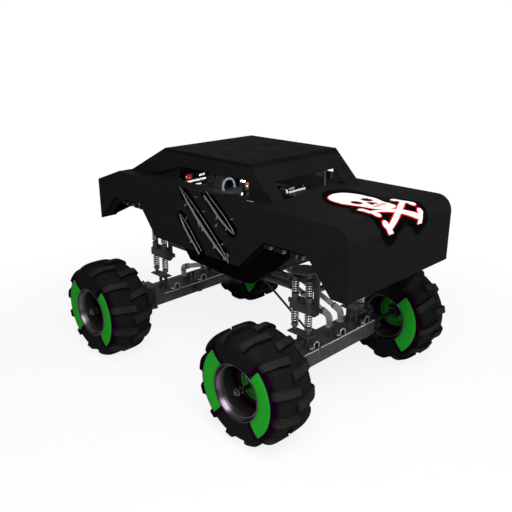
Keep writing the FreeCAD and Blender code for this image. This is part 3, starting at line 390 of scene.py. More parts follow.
def sharp_edge(edge, seams, angle=24.0):
    """An edge to be rounded: sharp, and not on one of the planes where panels meet flush."""
    if len(edge.link_faces) != 2 or edge.calc_face_angle(0) < math.radians(angle):
        return False
    return not any(
        all(abs(vertex.co["XYZ".index(axis)] - place) < 0.0005 for vertex in edge.verts) for axis, place in seams)


def eased(piece, width, seams=(), segments=3, angle=24.0):
    """Bevel a sheet's or casting's sharp edges, apart from those on its seams' planes."""
    with shaping(piece, "EDGE"):
        pick(lambda edge: sharp_edge(edge, seams, angle), "EDGE")
        bpy.ops.mesh.bevel(offset=width, segments=segments, profile=0.6, affect="EDGES", clamp_overlap=True)
    return piece


def toned(piece, value_of):
    """Write how much lighter or darker each face is painted: painted light and shade."""
    tone = piece.data.attributes.new("tone", "FLOAT", "FACE")
    for face, store in zip(piece.data.polygons, tone.data):
        store.value = value_of(face)
    return piece


def steelwork(node, material, suffix="_steel", ease=0.003, angle=40.0, shading=35.0):
    """A CAD node carried over with eased edges and a worked finish."""
    piece = carried(node, suffix)
    if ease:
        eased(piece, ease, (), 2, angle)
    return finished(smooth(piece, shading), material, node, [node])


# ---------------------------------------------------------------- finishes
class Finish:
    """The node graph of one material, worked in Object coordinates."""

    def __init__(self, name, **shader):
        self.material = bpy.data.materials.new(name)
        self.material.use_nodes = True
        self.tree = self.material.node_tree
        self.tree.nodes.clear()
        self.shader = self.node("BsdfPrincipled", {key.replace("_", " "): value for key, value in shader.items()})
        out = self.node("OutputMaterial")
        self.tree.links.new(self.shader.outputs[0], out.inputs[0])
        self.place = self.node("TexCoord").outputs["Object"]

    def node(self, kind, inputs=(), **settings):
        node = self.tree.nodes.new("ShaderNode" + kind)
        for key, value in settings.items():
            setattr(node, key, value)
        for key, value in dict(inputs).items():
            if isinstance(value, bpy.types.NodeSocket):
                self.tree.links.new(value, node.inputs[key])
            else:
                node.inputs[key].default_value = value
        return node

    def link(self, value, socket):
        self.tree.links.new(value, self.shader.inputs[socket])

    def maths(self, operation, *values):
        return self.node("Math", dict(enumerate(values)), operation=operation).outputs[0]

    def vector(self, operation, *values):
        node = self.node("VectorMath", dict(enumerate(values)), operation=operation)
        return node.outputs["Value" if operation in ("LENGTH", "DOT_PRODUCT") else "Vector"]

    def scaled(self, vector, factor):
        return self.node("VectorMath", {0: vector, "Scale": factor}, operation="SCALE").outputs["Vector"]

    def split(self, vector):
        return self.node("SeparateXYZ", {0: vector}).outputs

    def moved(self, rotation=(0, 0, 0), scale=(1, 1, 1)):
        return self.node("Mapping", {"Vector": self.place, "Rotation": rotation, "Scale": scale}).outputs[0]

    def noise(self, scale, detail=4.0, roughness=0.55, vector=None):
        settings = {"Vector": vector or self.place, "Scale": scale, "Detail": detail, "Roughness": roughness}
        return self.node("TexNoise", settings).outputs[0]

    def span(self, value, start, end, low=0.0, high=1.0, soft=True):
        """Map value from start..end to low..high, held at both ends."""
        return self.node(
            "MapRange", {"Value": value, 1: start, 2: end, 3: low, 4: high},
            interpolation_type="SMOOTHSTEP" if soft else "LINEAR").outputs[0]

    def mix(self, factor, first, second):
        node = self.node("Mix", data_type="RGBA")
        for index, value in ((0, factor), (6, first), (7, second)):
            if isinstance(value, bpy.types.NodeSocket):
                self.tree.links.new(value, node.inputs[index])
            elif index:
                node.inputs[index].default_value = (*value, 1.0)
            else:
                node.inputs[index].default_value = value
        return node.outputs[2]

    def relief(self, height, distance, strength=1.0):
        bump = self.node("Bump", {"Height": height, "Distance": distance, "Strength": strength})
        self.link(bump.outputs[0], "Normal")

    def away_from(self, point, start, end):
        """Distance from a vector to the line between two points."""
        start, end = Vector(start), Vector(end)
        run = end - start
        offset = self.vector("SUBTRACT", point, start)
        share = self.maths("DIVIDE", self.vector("DOT_PRODUCT", offset, run), run.length_squared)
        share = self.node("Clamp", {0: share}).outputs[0]
        return self.vector("LENGTH", self.vector("SUBTRACT", offset, self.scaled(run, share)))

    def from_axle(self, middle_of):
        """Offset from a wheel's middle, and its distance from the wheel's axis."""
        offset = self.vector("SUBTRACT", self.place, middle_of)
        return offset, self.vector("LENGTH", self.vector("MULTIPLY", offset, (1, 0, 1)))

    def toned(self, base):
        """The colour, made lighter or darker by the painted light and shade stored on its faces."""
        tone = self.node("Attribute", attribute_name="tone").outputs["Fac"]
        return self.scaled(base, self.maths("ADD", tone, 1.0))


def shade(colour, factor):
    """The colour, lighter or darker."""
    return tuple(min(1.0, channel * factor) for channel in colour)


def satin_paint(name, colour, halos=(), edge=None, dark_inside=False):
    """Satin paint with faint mottling, dust and orange peel. A halo is (start, end, solid, soft): a black
    surround of the line from start to end in the door's plane or, with a coloured edge, along and across
    the hood. With dark_inside, the returns behind the wheel arches get painted shade, almost black."""
    paint = Finish(name, Metallic=0.0, Specular_IOR_Level=0.01)
    mottle = paint.noise(2.3, 5)
    base = paint.mix(paint.span(mottle, 0.3, 0.7), shade(colour, 0.93), shade(colour, 1.07))
    dust = paint.span(paint.noise(9.0, 8, 0.7), 0.55, 0.85, 0.0, 0.10)
    base = paint.mix(dust, base, shade(colour, 1.8))
    x, y, z = paint.split(paint.place)
    outboard = paint.maths("ABSOLUTE", y)
    # painted shade: the returns behind the wheel arches are painted almost black
    if dark_inside:
        arch_shade = paint.span(outboard, BODY_HALF_WIDTH - 0.016, BODY_HALF_WIDTH - 0.008, 1.0, 0.0)
        arch_shade = paint.maths("MULTIPLY", arch_shade, paint.span(z, ARCH_TOP, ARCH_TOP + 0.01, 1.0, 0.0))
        base = paint.mix(arch_shade, base, (0.0002,) * 3)
    if halos:
        if edge:
            bend = paint.maths("ARCTAN2", paint.maths("MAXIMUM", paint.maths("SUBTRACT", x, NOSE_SEAM), 0.0),
                               paint.maths("SUBTRACT", z, BELT - NOSE_ROUND))
            along = paint.maths("ADD", paint.maths("MINIMUM", x, NOSE_SEAM), paint.maths("MULTIPLY", bend, NOSE_ROUND))
        flat = paint.node("CombineXYZ", {0: along if edge else x, 1: y if edge else z}).outputs[0]
        cover = None
        for start, end, solid, soft in halos:
            gap = paint.away_from(flat, (*start, 0), (*end, 0))
            one = paint.span(gap, solid, solid + soft, 1.0, 0.0)
            cover = one if cover is None else paint.maths("MAXIMUM", cover, one)
        if edge:
            tint = paint.maths("MULTIPLY", paint.span(cover, 0.0, 0.35), paint.span(cover, 0.35, 0.85, 1.0, 0.0))
            base = paint.mix(tint, base, edge)
        else:
            on_door = paint.span(outboard, BODY_HALF_WIDTH - 0.010, BODY_HALF_WIDTH - 0.003)
            cover = paint.maths("MULTIPLY", cover, on_door)
        base = paint.mix(paint.span(cover, 0.1, 0.9), base, (0.0001,) * 3)
    paint.link(base, "Base Color")
    paint.link(paint.span(paint.noise(5.0, 6, 0.6), 0.25, 0.75, 0.45, 0.60), "Roughness")
    paint.relief(paint.noise(420.0, 2), 0.0004, 0.25)
    return paint.material


def carbon_weave(name):
    """Two-by-two twill, almost black, with the paler threads standing proud."""
    weave = Finish(name, Metallic=0.0, Specular_IOR_Level=0.005)
    cell = 40.0                                            # cells to a metre
    x, y, z = weave.split(weave.place)
    across = weave.maths("MULTIPLY", weave.maths("ADD", x, y), cell)
    up = weave.maths("MULTIPLY", z, cell)
    step = weave.maths("ADD", weave.maths("FLOOR", across), weave.maths("FLOOR", up))
    over = weave.maths("LESS_THAN", weave.maths("MODULO", weave.maths("ABSOLUTE", step), 4.0), 1.5)
    strand = weave.maths("ADD", weave.maths("MULTIPLY", over, weave.maths("FRACT", up)),
                         weave.maths("MULTIPLY", weave.maths("SUBTRACT", 1.0, over), weave.maths("FRACT", across)))
    crown = weave.maths("SINE", weave.maths("MULTIPLY", strand, math.pi))
    weave.link(weave.mix(over, (0.0004, 0.0004, 0.0005), (0.0030, 0.0030, 0.0032)), "Base Color")
    weave.link(weave.span(crown, 0.0, 1.0, 0.60, 0.42, soft=False), "Roughness")
    weave.relief(crown, 0.0008, 0.5)
    return weave.material


def coated_steel(name, colour, wear=0.12, specular=0.3):
    """Painted or powder-coated steel with darker streaks, paler scuffs and a pebbled skin, and the painted light and
    shade of any faces that carry it.
    """
    steel = Finish(name, Metallic=0.25, Specular_IOR_Level=specular)
    broad = steel.span(steel.noise(3.5, 6, 0.6), 0.3, 0.7)
    base = steel.mix(broad, shade(colour, 0.72), shade(colour, 1.2))
    streak = steel.noise(14.0, 6, 0.7, steel.moved(scale=(1.0, 1.0, 6.0)))
    base = steel.mix(steel.span(streak, 0.58, 0.78, 0.0, 0.6), base, shade(colour, 0.4))
    scuff = steel.span(steel.noise(38.0, 5, 0.75), 0.66, 0.80, 0.0, wear)
    # the faces' painted light and shade scales the colour here
    steel.link(steel.toned(steel.mix(scuff, base, (0.20, 0.20, 0.205))), "Base Color")
    steel.link(steel.span(steel.noise(11.0, 5), 0.25, 0.75, 0.38, 0.62), "Roughness")
    steel.relief(steel.noise(360.0, 3), 0.0006, 0.3)
    return steel.material


def bright_metal(name, colour, rough=(0.12, 0.3), scratch=0.35):
    """Polished metal with fine scratches and dull patches."""
    metal = Finish(name, Metallic=1.0)
    lines = metal.noise(60.0, 8, 0.75)
    base = metal.mix(metal.span(metal.noise(6.0, 5), 0.3, 0.7), shade(colour, 0.82), shade(colour, 1.05))
    base = metal.mix(metal.span(lines, 0.6, 0.75, 0.0, scratch), base, shade(colour, 0.45))
    metal.link(base, "Base Color")
    metal.link(metal.span(lines, 0.25, 0.75, rough[0], rough[1], soft=False), "Roughness")
    metal.relief(lines, 0.0003, 0.25)
    return metal.material


def plain_enamel(name, colour, rough=0.45, specular=0.25):
    """Even enamel with slight clouding and a fine skin."""
    paint = Finish(name, Metallic=0.0, Specular_IOR_Level=specular)
    cloud = paint.span(paint.noise(12.0, 5), 0.3, 0.7)
    paint.link(paint.mix(cloud, shade(colour, 0.88), shade(colour, 1.06)), "Base Color")
    paint.link(paint.span(paint.noise(40.0, 4), 0.3, 0.7, rough * 0.85, rough * 1.15), "Roughness")
    paint.relief(paint.noise(300.0, 2), 0.0003, 0.2)
    return paint.material


def wheel_paint(name, middle_of, colour):
    """Green paint of a wheel's centre: mottled, with painted shade round the groove and towards the hub."""
    paint = Finish(name, Metallic=0.0, Specular_IOR_Level=0.12)
    _, reach = paint.from_axle(middle_of)
    mottle = paint.span(paint.noise(16.0, 7, 0.65), 0.35, 0.7)
    base = paint.mix(mottle, shade(colour, 0.70), shade(colour, 1.12))
    base = paint.mix(paint.span(paint.noise(60.0, 5, 0.7), 0.60, 0.78, 0.0, 0.5), base, shade(colour, 0.3))
    # painted shade: dark plum towards the hub's recess and in a thin ring where the groove lies
    hub_shade = paint.span(reach, 0.09, 0.16, 1.0, 0.0)
    groove_shade = paint.maths("MULTIPLY", paint.span(reach, 0.204, 0.212), paint.span(reach, 0.220, 0.228, 1.0, 0.0))
    base = paint.mix(paint.maths("MAXIMUM", hub_shade, groove_shade), base, (0.008, 0.0015, 0.008))
    base = paint.mix(paint.span(reach, 0.270, 0.282), base, (0.010, 0.0004, 0.010))
    paint.link(base, "Base Color")
    paint.link(paint.span(paint.noise(20.0, 4), 0.3, 0.7, 0.35, 0.55), "Roughness")
    paint.relief(paint.noise(45.0, 5, 0.6), 0.004, 0.4)
    return paint.material


def rim_metal(name, middle_of, colour):
    """Dull purplish-grey metal with fine turning lines and a plum lip, with painted shade in the depth of the barrel:
    dark grey, matt and not metallic there, and dark plum and rougher next to the disc.
    """
    metal = Finish(name)
    offset, reach = metal.from_axle(middle_of)
    depth = metal.maths("ABSOLUTE", metal.split(offset)[1])
    rings = metal.noise(1.0, 6, 0.7, metal.node(
        "CombineXYZ", {0: metal.maths("MULTIPLY", depth, 120.0), 1: metal.maths("MULTIPLY", reach, 120.0)}).outputs[0])
    base = metal.mix(metal.span(rings, 0.3, 0.7), shade(colour, 0.75), shade(colour, 1.15))
    dirt = metal.span(metal.noise(8.0, 6, 0.65), 0.5, 0.8, 0.0, 0.5)
    base = metal.mix(dirt, base, shade(colour, 0.35))
    # painted shade: deep in the barrel the metal is dark grey and not metallic
    base = metal.mix(metal.span(depth, 0.25, 0.31, 1.0, 0.0), base, (0.013, 0.013, 0.0135))
    lip = metal.span(depth, 0.376, 0.384)
    base = metal.mix(lip, base, (0.055, 0.022, 0.055))
    # painted shade: dark plum and rougher next to the disc
    plum = metal.span(depth, 0.05, 0.15, 1.0, 0.0)
    base = metal.mix(plum, base, (0.010, 0.0005, 0.010))
    metal.link(base, "Base Color")
    metal.link(metal.span(depth, 0.25, 0.31, 0.0, 1.0), "Metallic")
    metal.shader.inputs["Specular IOR Level"].default_value = 0.02
    metal.link(metal.maths("ADD", metal.span(rings, 0.25, 0.75, 0.20, 0.34), metal.maths("MULTIPLY", plum, 0.25)),
               "Roughness")
    metal.relief(rings, 0.0004, 0.3)
    return metal.material


def glow(name, colour, strength):
    """A lit lens with a cellular shimmer."""
    light = Finish(name, Metallic=0.0, Roughness=0.25)
    cells = light.span(light.noise(240.0, 2), 0.3, 0.7)
    light.link(light.mix(cells, shade(colour, 0.6), colour), "Base Color")
    light.link(light.mix(cells, shade(colour, 0.7), colour), "Emission Color")
    light.shader.inputs["Emission Strength"].default_value = strength
    return light.material


ARC_SPAN = math.radians(48.5)                              # half the height of a painted arc, from the front
ARC_RADII = (0.40, 0.658)


def tyre_rubber(name, middle_of, colour, green):
    """Rubber with a painted green arc to the front and rear of each sidewall, in a soft plum-black surround; painted
    shade makes the sidewalls darker than the tread, and the lugs carry their painted light and shade.
    """
    rubber = Finish(name, Metallic=0.0, Specular_IOR_Level=0.01)
    offset, reach = rubber.from_axle(middle_of)
    x, y, z = rubber.split(offset)
    turn = rubber.maths("ARCTAN2", rubber.maths("ABSOLUTE", z), rubber.maths("ABSOLUTE", x))
    side = rubber.maths("MULTIPLY", rubber.maths("SUBTRACT", turn, ARC_SPAN), reach)
    out = rubber.maths("SUBTRACT", reach, ARC_RADII[1])
    inward = rubber.maths("SUBTRACT", ARC_RADII[0], reach)
    gap = rubber.maths("MAXIMUM", side, rubber.maths("MAXIMUM", out, inward))
    wall = rubber.span(rubber.maths("ABSOLUTE", y), 0.20, 0.24)
    flank = rubber.span(rubber.maths("ABSOLUTE", y), 0.31, 0.41)
    mottle = rubber.span(rubber.noise(4.0, 6, 0.6), 0.3, 0.7)
    base = rubber.mix(mottle, shade(colour, 0.80), shade(colour, 1.18))
    base = rubber.mix(rubber.span(rubber.noise(26.0, 7, 0.7), 0.55, 0.8, 0.0, 0.35), base, shade(colour, 1.7))
    # painted shade: the sidewalls darker than the tread, then the faces' painted light and shade
    base = rubber.toned(rubber.mix(rubber.maths("MULTIPLY", flank, 0.85), base, shade(colour, 0.75)))
    halo = rubber.maths("MULTIPLY", rubber.span(gap, 0.05, 0.11, 1.0, 0.0), wall)
    base = rubber.mix(halo, base, (0.0058, 0.0001, 0.0058))
    ribs = rubber.node("TexWave", {"Vector": rubber.moved(rotation=(0.0, 0.7, 0.0)), "Scale": 42.0,
                                   "Distortion": 0.3}, wave_type="BANDS", bands_direction="X").outputs[0]
    paint = rubber.mix(rubber.span(ribs, 0.1, 0.9), shade(green, 0.86), shade(green, 1.10))
    paint = rubber.mix(rubber.span(reach, ARC_RADII[0], ARC_RADII[0] + 0.10, 0.5, 0.0), paint, shade(green, 0.55))
    inside = rubber.maths("MULTIPLY", rubber.maths("LESS_THAN", gap, 0.0), wall)
    base = rubber.mix(inside, base, paint)
    rubber.link(base, "Base Color")
    rubber.link(rubber.span(rubber.noise(15.0, 5), 0.3, 0.7, 0.55, 0.78), "Roughness")
    rubber.relief(rubber.noise(180.0, 5, 0.7), 0.0012, 0.35)
    return rubber.material


# ---------------------------------------------------------------- body
ARCH_TOP = 2.70                        # the wings' inner returns are painted black below here, as painted shade
FRONT_CLIPS = ((1.362, 1.473), (1.551, 1.714), (1.841, 1.952), (1.974, 2.061))      # from and to, along the truck
REAR_CLIPS = ((-2.13, -1.98), (-1.93, -1.83), (-1.75, -1.64), (-1.60, -1.50))
CLIP_BOX = (1.125, 2.585), (1.180, 2.640)                  # (out from the middle, height) of a clip's corners
STAY_BOX = (1.170, 2.600), (BODY_HALF_WIDTH - 0.004, 2.665)
# the blank behind each side window: (x, z) corners
WINDOW_BLANK = ((-1.50, 3.165), (-0.83, 3.165), (-0.76, 3.60), (-1.20, 3.60), (-1.50, 3.45))
BLANK_OUT = 0.935                      # its inner face, from the middle
TAIL_CUT, TAIL_SIDE = 2.66, 0.90       # the tail panel is open below this height, between its sides
FLANK_SEAMS = (("Z", 2.93), ("Z", 2.68), ("Z", 2.44))
FENDER_SEAM = 1.873
SNOUT_SEAMS = (("Z", 2.93), ("Z", 2.44), ("Y", -0.42), ("Y", 0.42))
CABIN_SEAMS = (("X", -0.1265), ("Z", 3.415))
TEAL = (0.0012, 0.010, 0.011)          # edge of the hood ornament's black surround


def scored(piece, axis, place, faces):
    """Score a shallow seam across the faces that pass the test, where they cross a plane."""
    settings = bpy.context.scene.truck_body
    normal, half, index = AXES[axis], settings.seam_width / 2, "XYZ".index(axis)
    with shaping(piece):
        for shift in (-half, half, 0.0):
            pick(faces)
            bpy.ops.mesh.bisect(plane_co=normal * (place + shift), plane_no=normal, threshold=0.00001)
        data = bpy.context.object.data
        mesh = bmesh.from_edit_mesh(data)
        for vertex in mesh.verts:
            if abs(vertex.co[index] - place) < 0.00002:
                around = [face for face in vertex.link_faces if faces(face)]
                if around and len(around) == len(vertex.link_faces):
                    push = sum((face.normal for face in around), Vector()).normalized()
                    vertex.co -= push * settings.seam_depth
        bmesh.update_edit_mesh(data)
    return piece


def opened_below(piece):
    """Open the tail panel between its sides, below the height of the wheel arches."""
    with shaping(piece):
        for axis, place in (("Z", TAIL_CUT), ("Y", TAIL_SIDE), ("Y", -TAIL_SIDE)):
            sliced(AXES[axis] * place, AXES[axis])
    return stripped(piece, lambda face: middle(face).z < TAIL_CUT - 0.001 and abs(middle(face).y) < TAIL_SIDE - 0.001)


def arch_boxes(side, corners, inset, ease, segments):
    """A small box at the place of each arch clip, on one side of the truck."""
    (near, low), (far, high) = corners
    near, far = sorted((side * near, side * far))
    return [box_piece((start + inset, near, low), (end - inset, far, high), ease, segments)
            for start, end in FRONT_CLIPS + REAR_CLIPS]


class TRUCK_OT_body(bpy.types.Operator):
    """Paint the body's panels, ease their edges and score their seams"""
    bl_idname = "truck.body"
    bl_label = "Body panels"

    def execute(self, context):
        settings = context.scene.truck_body
        black = satin_paint("satin_black", settings.black)
        # painted shade: the roof gets the body paint at 0.6 of its colour, darker to offset the light falling on it
        # from above
        roof_shade_paint = satin_paint("satin_black_roof_painted_shade", shade(settings.black, 0.6))
        paints = {"hood": satin_paint("satin_black_hood", settings.black, ORNAMENT_HALOS, TEAL)}
        paints["nose_panel"] = paints["hood"]
        doors = satin_paint("satin_black_doors", settings.black, [claw_halo(*claw) for claw in CLAWS])
        # the wings' paint carries painted shade behind the wheel arches
        wings = satin_paint("satin_black_wings_arch_shade", settings.black, dark_inside=True)
        paints.update({"side_panel_" + hand: doors for hand in SIDES}, tail_panel=wings)
        paints.update({kind + hand: wings for kind in ("fender_", "quarter_") for hand in SIDES})
        cabin_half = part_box("cabin_side_left")[0].y
        cabin_edges = [("Z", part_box("roof")[0].z), ("Y", cabin_half), ("Y", -cabin_half), ("Z", BELT)]

        def flank(face):
            return abs(face.normal.y) > 0.99 and abs(middle(face).y) > BODY_HALF_WIDTH - 0.002

        def snout(face):
            return face.normal.x > 0.99 and middle(face).x > CAD_BOX[1][0] - 0.002

        def cabin_wall(face):
            return abs(face.normal.y) > 0.99 and abs(middle(face).y) > cabin_half + 0.05

        for node in ("nose_panel", "hood", "fender_left", "fender_right", "side_panel_left", "side_panel_right",
                     "rear_deck", "quarter_left", "quarter_right", "tail_panel"):
            piece = carried(node, "_sheet")
            if node == "tail_panel":
                piece = opened_below(piece)
            piece = eased(piece, settings.edge if "panel" in node else settings.edge * 0.6)
            if node.endswith(SIDES) or node == "nose_panel":
                for axis, place in FLANK_SEAMS:
                    scored(piece, axis, place, flank)
            if "fender" in node:
                scored(piece, "X", FENDER_SEAM, flank)
            if node == "nose_panel":
                for axis, place in SNOUT_SEAMS:
                    scored(piece, axis, place, snout)
            finished(smooth(piece), paints.get(node, black), node, [node])
        for node in ("roof", "windscreen_frame", "backlight_panel", "cabin_side_left", "cabin_side_right"):
            piece = eased(carried(node, "_sheet"), settings.edge * 1.4, cabin_edges)
            if "cabin" in node:
                for axis, place in CABIN_SEAMS:
                    scored(piece, axis, place, cabin_wall)
            finished(smooth(piece), roof_shade_paint if node == "roof" else black, node, [node])
        weave = carbon_weave("carbon_twill")
        for hand in SIDES:
            skirt = "side_skirt_" + hand
            finished(smooth(eased(carried(skirt, "_sheet"), 0.007)), weave, skirt, [skirt])
        clip_grey = plain_enamel("clip_grey", (0.12, 0.12, 0.122), 0.45)
        for side, hand in ((-1, "right"), (1, "left")):
            fitting("arch_clips_" + hand, arch_boxes(side, CLIP_BOX, 0.0, 0.006, 2), clip_grey, "fender_" + hand)
            fitting("arch_stays_" + hand, arch_boxes(side, STAY_BOX, 0.02, 0.004, 1), black, "fender_" + hand)
            blank = laid(plate("window_blank", WINDOW_BLANK, 0.010),
                         lambda point: Vector((point.x, side * (BLANK_OUT + point.z), point.y)))
            fitting("window_blank_" + hand, [blank], black, "cabin_side_" + hand)
        return {"FINISHED"}


# ---------------------------------------------------------------- claw marks and hood ornament
def claw_outlines(top, foot, width, open_end, barbs):
    """Outlines, in the door's plane, of one claw mark: the torn lower lip with its barbs, the thin upper lip
    and the dark gash between them. A barb is (share of the length, reach)."""
    top, foot = Vector(top), Vector(foot)
    run = foot - top
    aside = Vector((run.y, -run.x)).normalized()
    shares, rows = {step / 22 for step in range(23)}, []
    for share, _ in barbs:
        shares |= {share - 0.055, share - 0.02, share, share + 0.012}
    for share in sorted(shares):
        taper = math.sin(math.pi * min(max(share, 0.0), 1.0))
        if (open_end > 0 and share > 0.5) or (open_end < 0 and share < 0.5):
            taper = max(taper, 0.75)
        gash, lip, thin = 0.040 * taper ** 0.7, 1.4 * width * taper ** 0.6, 0.010 * taper ** 0.5
        for place, reach in barbs:
            if share == place:
                lip += 1.3 * reach
            elif share == place - 0.02:
                lip += 0.5 * reach
        rows.append((top + run * share, gash, lip, thin))

    def band(low, high):
        return [at + aside * low(*row) for at, *row in rows] + [
            at + aside * high(*row) for at, *row in reversed(rows)]

    return (band(lambda gash, lip, thin: gash + lip, lambda gash, lip, thin: gash),
            band(lambda gash, lip, thin: -gash, lambda gash, lip, thin: -gash - thin),
            band(lambda gash, lip, thin: gash + lip * 0.5, lambda gash, lip, thin: -gash - thin * 0.5))


# (x, z) of the upper and lower ends, width of the lower lip, the end cut off (-1 top, 1 foot), barbs
CLAWS = (
    ((-0.440, 3.180), (0.676, 2.204), 0.036, 0,
     ((0.20, 0.024), (0.47, 0.044), (0.53, 0.028), (0.76, 0.040), (0.93, 0.024))),
    ((0.165, 3.176), (0.800, 2.672), 0.030, -1, ((0.08, 0.020), (0.50, 0.050), (0.80, 0.036))),
    ((-0.470, 2.742), (0.020, 2.212), 0.030, 1, ((0.30, 0.016), (0.66, 0.044))),
)
# small loose scratches: (x, z) corners
TICKS = (
    ((-0.10, 3.076), (-0.035, 3.088), (-0.04, 3.068)), ((0.08, 2.876), (0.135, 2.902), (0.14, 2.880)),
    ((0.36, 2.706), (0.43, 2.776), (0.40, 2.700)), ((0.705, 2.890), (0.79, 2.906), (0.70, 2.872)),
    ((0.50, 2.462), (0.575, 2.488), (0.51, 2.440)), ((0.61, 2.350), (0.665, 2.330), (0.655, 2.270)),
    ((-0.33, 2.930), (-0.30, 2.900), (-0.34, 2.880)), ((-0.285, 2.740), (-0.30, 2.690), (-0.335, 2.660)),
)


def claw_halo(top, foot, width, open_end, _):
    """The black surround of a claw mark, short of the ends that run out to a point."""
    top, foot = Vector(top), Vector(foot)
    run = foot - top
    return (top + run * (0.10 if open_end >= 0 else 0.02), foot - run * (0.10 if open_end <= 0 else 0.02),
            0.072 + width * 0.3, 0.060)


def claw_marks(side):
    """The silver lips and dark gashes on one door."""
    face = side * BODY_HALF_WIDTH
    lips, gashes = [], []

    def on_door(lift):
        return lambda point: Vector((point.x, face + side * (lift + point.z), point.y))

    for claw in CLAWS:
        lower, upper, gash = claw_outlines(*claw)
        for outline in (lower, upper):
            lips.append(rounded(laid(plate("lip", outline, 0.007), on_door(0.0005)), 0.0025, 1, 40))
        gashes.append(laid(plate("gash", gash, 0.001), on_door(0.0002)))
    for corners in TICKS:
        lips.append(laid(plate("tick", corners, 0.002), on_door(0.0005)))
    return lips, gashes


NOSE_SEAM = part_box("nose_panel")[0].x                      # where the hood starts to round down
NOSE_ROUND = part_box("nose_panel")[1].x - NOSE_SEAM
HOOD_SHEET = frame["nodes"]["hood"].data
HOOD_TREE = BVHTree.FromPolygons([vertex.co for vertex in HOOD_SHEET.vertices],
                                 [face.vertices for face in HOOD_SHEET.polygons])
# outlines on the hood: (along, across)
SKULL = ((1.678, -0.060), (1.712, 0.065), (1.790, 0.165), (1.905, 0.252), (2.050, 0.290), (2.190, 0.258),
         (2.300, 0.206), (2.390, 0.186), (2.500, 0.166), (2.590, 0.105), (2.618, -0.010), (2.590, -0.125),
         (2.495, -0.204), (2.380, -0.226), (2.280, -0.238), (2.140, -0.276), (2.000, -0.308), (1.890, -0.334),
         (1.790, -0.335), (1.716, -0.268), (1.684, -0.165))
EYES = (((2.020, 0.095), (2.070, 0.150), (2.150, 0.152), (2.195, 0.105), (2.160, 0.062), (2.080, 0.052)),
        ((2.020, -0.125), (2.080, -0.082), (2.160, -0.092), (2.195, -0.135), (2.150, -0.182), (2.070, -0.180)))
NOSE_HOLE = ((2.205, -0.012), (2.270, 0.026), (2.330, 0.040), (2.312, -0.012), (2.330, -0.064), (2.270, -0.050))
TEETH = (2.375, 2.400, 2.455)                              # along: gum ends, bite line, gum ends
BONES = (((2.512, 0.400), (2.895, -0.388)), ((2.512, -0.402), (2.885, 0.375)))
BONE_WIDTH, KNOB, KNOB_SPREAD = 0.076, 0.052, (0.135, 0.085)
TOOTH_GAPS, TOOTH_HALF = (-0.122, -0.078, -0.034, 0.010, 0.054, 0.098), 0.004
BITE_SIDES, BITE_HALF = (-0.155, 0.135), 0.005
HOOD_END = 2.966                                           # where the nose's face begins, along the hood
# black surround: (start, end, solid, soft), along and across the hood
ORNAMENT_HALOS = (
    ((1.96, -0.03), (2.08, -0.02), 0.41, 0.05), ((2.08, -0.02), (2.50, -0.03), 0.34, 0.05),
    ((2.38, 0.395), (2.66, 0.41), 0.15, 0.05), ((2.40, -0.395), (2.66, -0.41), 0.15, 0.05),
    ((2.52, 0.38), (2.88, -0.38), 0.17, 0.05), ((2.52, -0.38), (2.88, 0.38), 0.17, 0.05),
    ((2.80, 0.41), (2.93, 0.34), 0.15, 0.05), ((2.80, -0.42), (2.94, -0.34), 0.15, 0.05),
)
# lifts of the ornament's layers over the hood
OUTLINE_LIFT, FILL_LIFT, RIM_LIFT, HOLLOW_LIFT = 0.0008, 0.0062, 0.0116, 0.0150


def on_hood(point, lift):
    """A place on the hood or over the rounded nose: point.x is the way run along the middle of the hood."""
    bend = (point.x - NOSE_SEAM) / NOSE_ROUND
    lift += point.z
    if bend <= 0:
        at = HOOD_TREE.ray_cast((min(point.x, NOSE_SEAM - 0.001), point.y, BELT + 1), (0, 0, -1))[0]
        return Vector((point.x, point.y, at.z + lift))
    down = max(0.0, bend - math.pi / 2) * NOSE_ROUND
    bend, reach = min(bend, math.pi / 2), NOSE_ROUND + lift
    return Vector((NOSE_SEAM + reach * math.sin(bend), point.y, BELT - NOSE_ROUND + reach * math.cos(bend) - down))


def curved_outline(points, swell=0.0, steps=6):
    """A smooth closed outline through the points, swollen outwards."""
    ring, count = [], len(points)
    for index in range(count):
        a, b, c, d = (Vector(points[(index + shift) % count]) for shift in (-1, 0, 1, 2))
        for step in range(steps):
            t = step / steps
            ring.append(0.5 * ((2 * b) + (c - a) * t + (2 * a - 5 * b + 4 * c - d) * t * t
                               + (3 * b - a - 3 * c + d) * t ** 3))
    return swollen(ring, swell)


def swollen(ring, swell):
    """Push each point of a closed outline out from the shape."""
    area = sum(a[0] * b[1] - a[1] * b[0] for a, b in zip(ring, ring[1:] + ring[:1]))
    grown = []
    for index, point in enumerate(ring):
        run = Vector(ring[(index + 1) % len(ring)]) - Vector(ring[index - 1])
        out = Vector((run.y, -run.x)).normalized() * math.copysign(swell, area)
        grown.append(tuple(Vector(point) + out))
    return grown


def disc_outline(middle_of, radius, sides=28):
    """A round outline."""
    return [(middle_of[0] + radius * math.cos(2 * math.pi * step / sides),
             middle_of[1] + radius * math.sin(2 * math.pi * step / sides)) for step in range(sides)]


def ornament_outlines(swell):
    """Closed outlines of the skull and of each bone's shaft and knobs."""
    shapes = [curved_outline(SKULL, swell)]
    for start, end in BONES:
        start, end = Vector(start), Vector(end)
        aside = Vector((start.y - end.y, end.x - start.x)).normalized() * (BONE_WIDTH / 2 + swell)
        shapes.append([tuple(corner) for corner in (start - aside, end - aside, end + aside, start + aside)])
        for at, spread in ((start, KNOB_SPREAD[0]), (end, KNOB_SPREAD[1])):
            across = Vector((1.0, 0.12 if at.y > 0 else -0.12)) if at is start else aside.normalized()
            for sign in (-1, 1):
                shapes.append(disc_outline(at + across * sign * spread, KNOB + swell))
            bar = across.orthogonal().normalized() * (KNOB * 0.8 + swell)
            near, far = at - across * spread, at + across * spread
            shapes.append([tuple(corner) for corner in (near - bar, far - bar, far + bar, near + bar)])
    return shapes


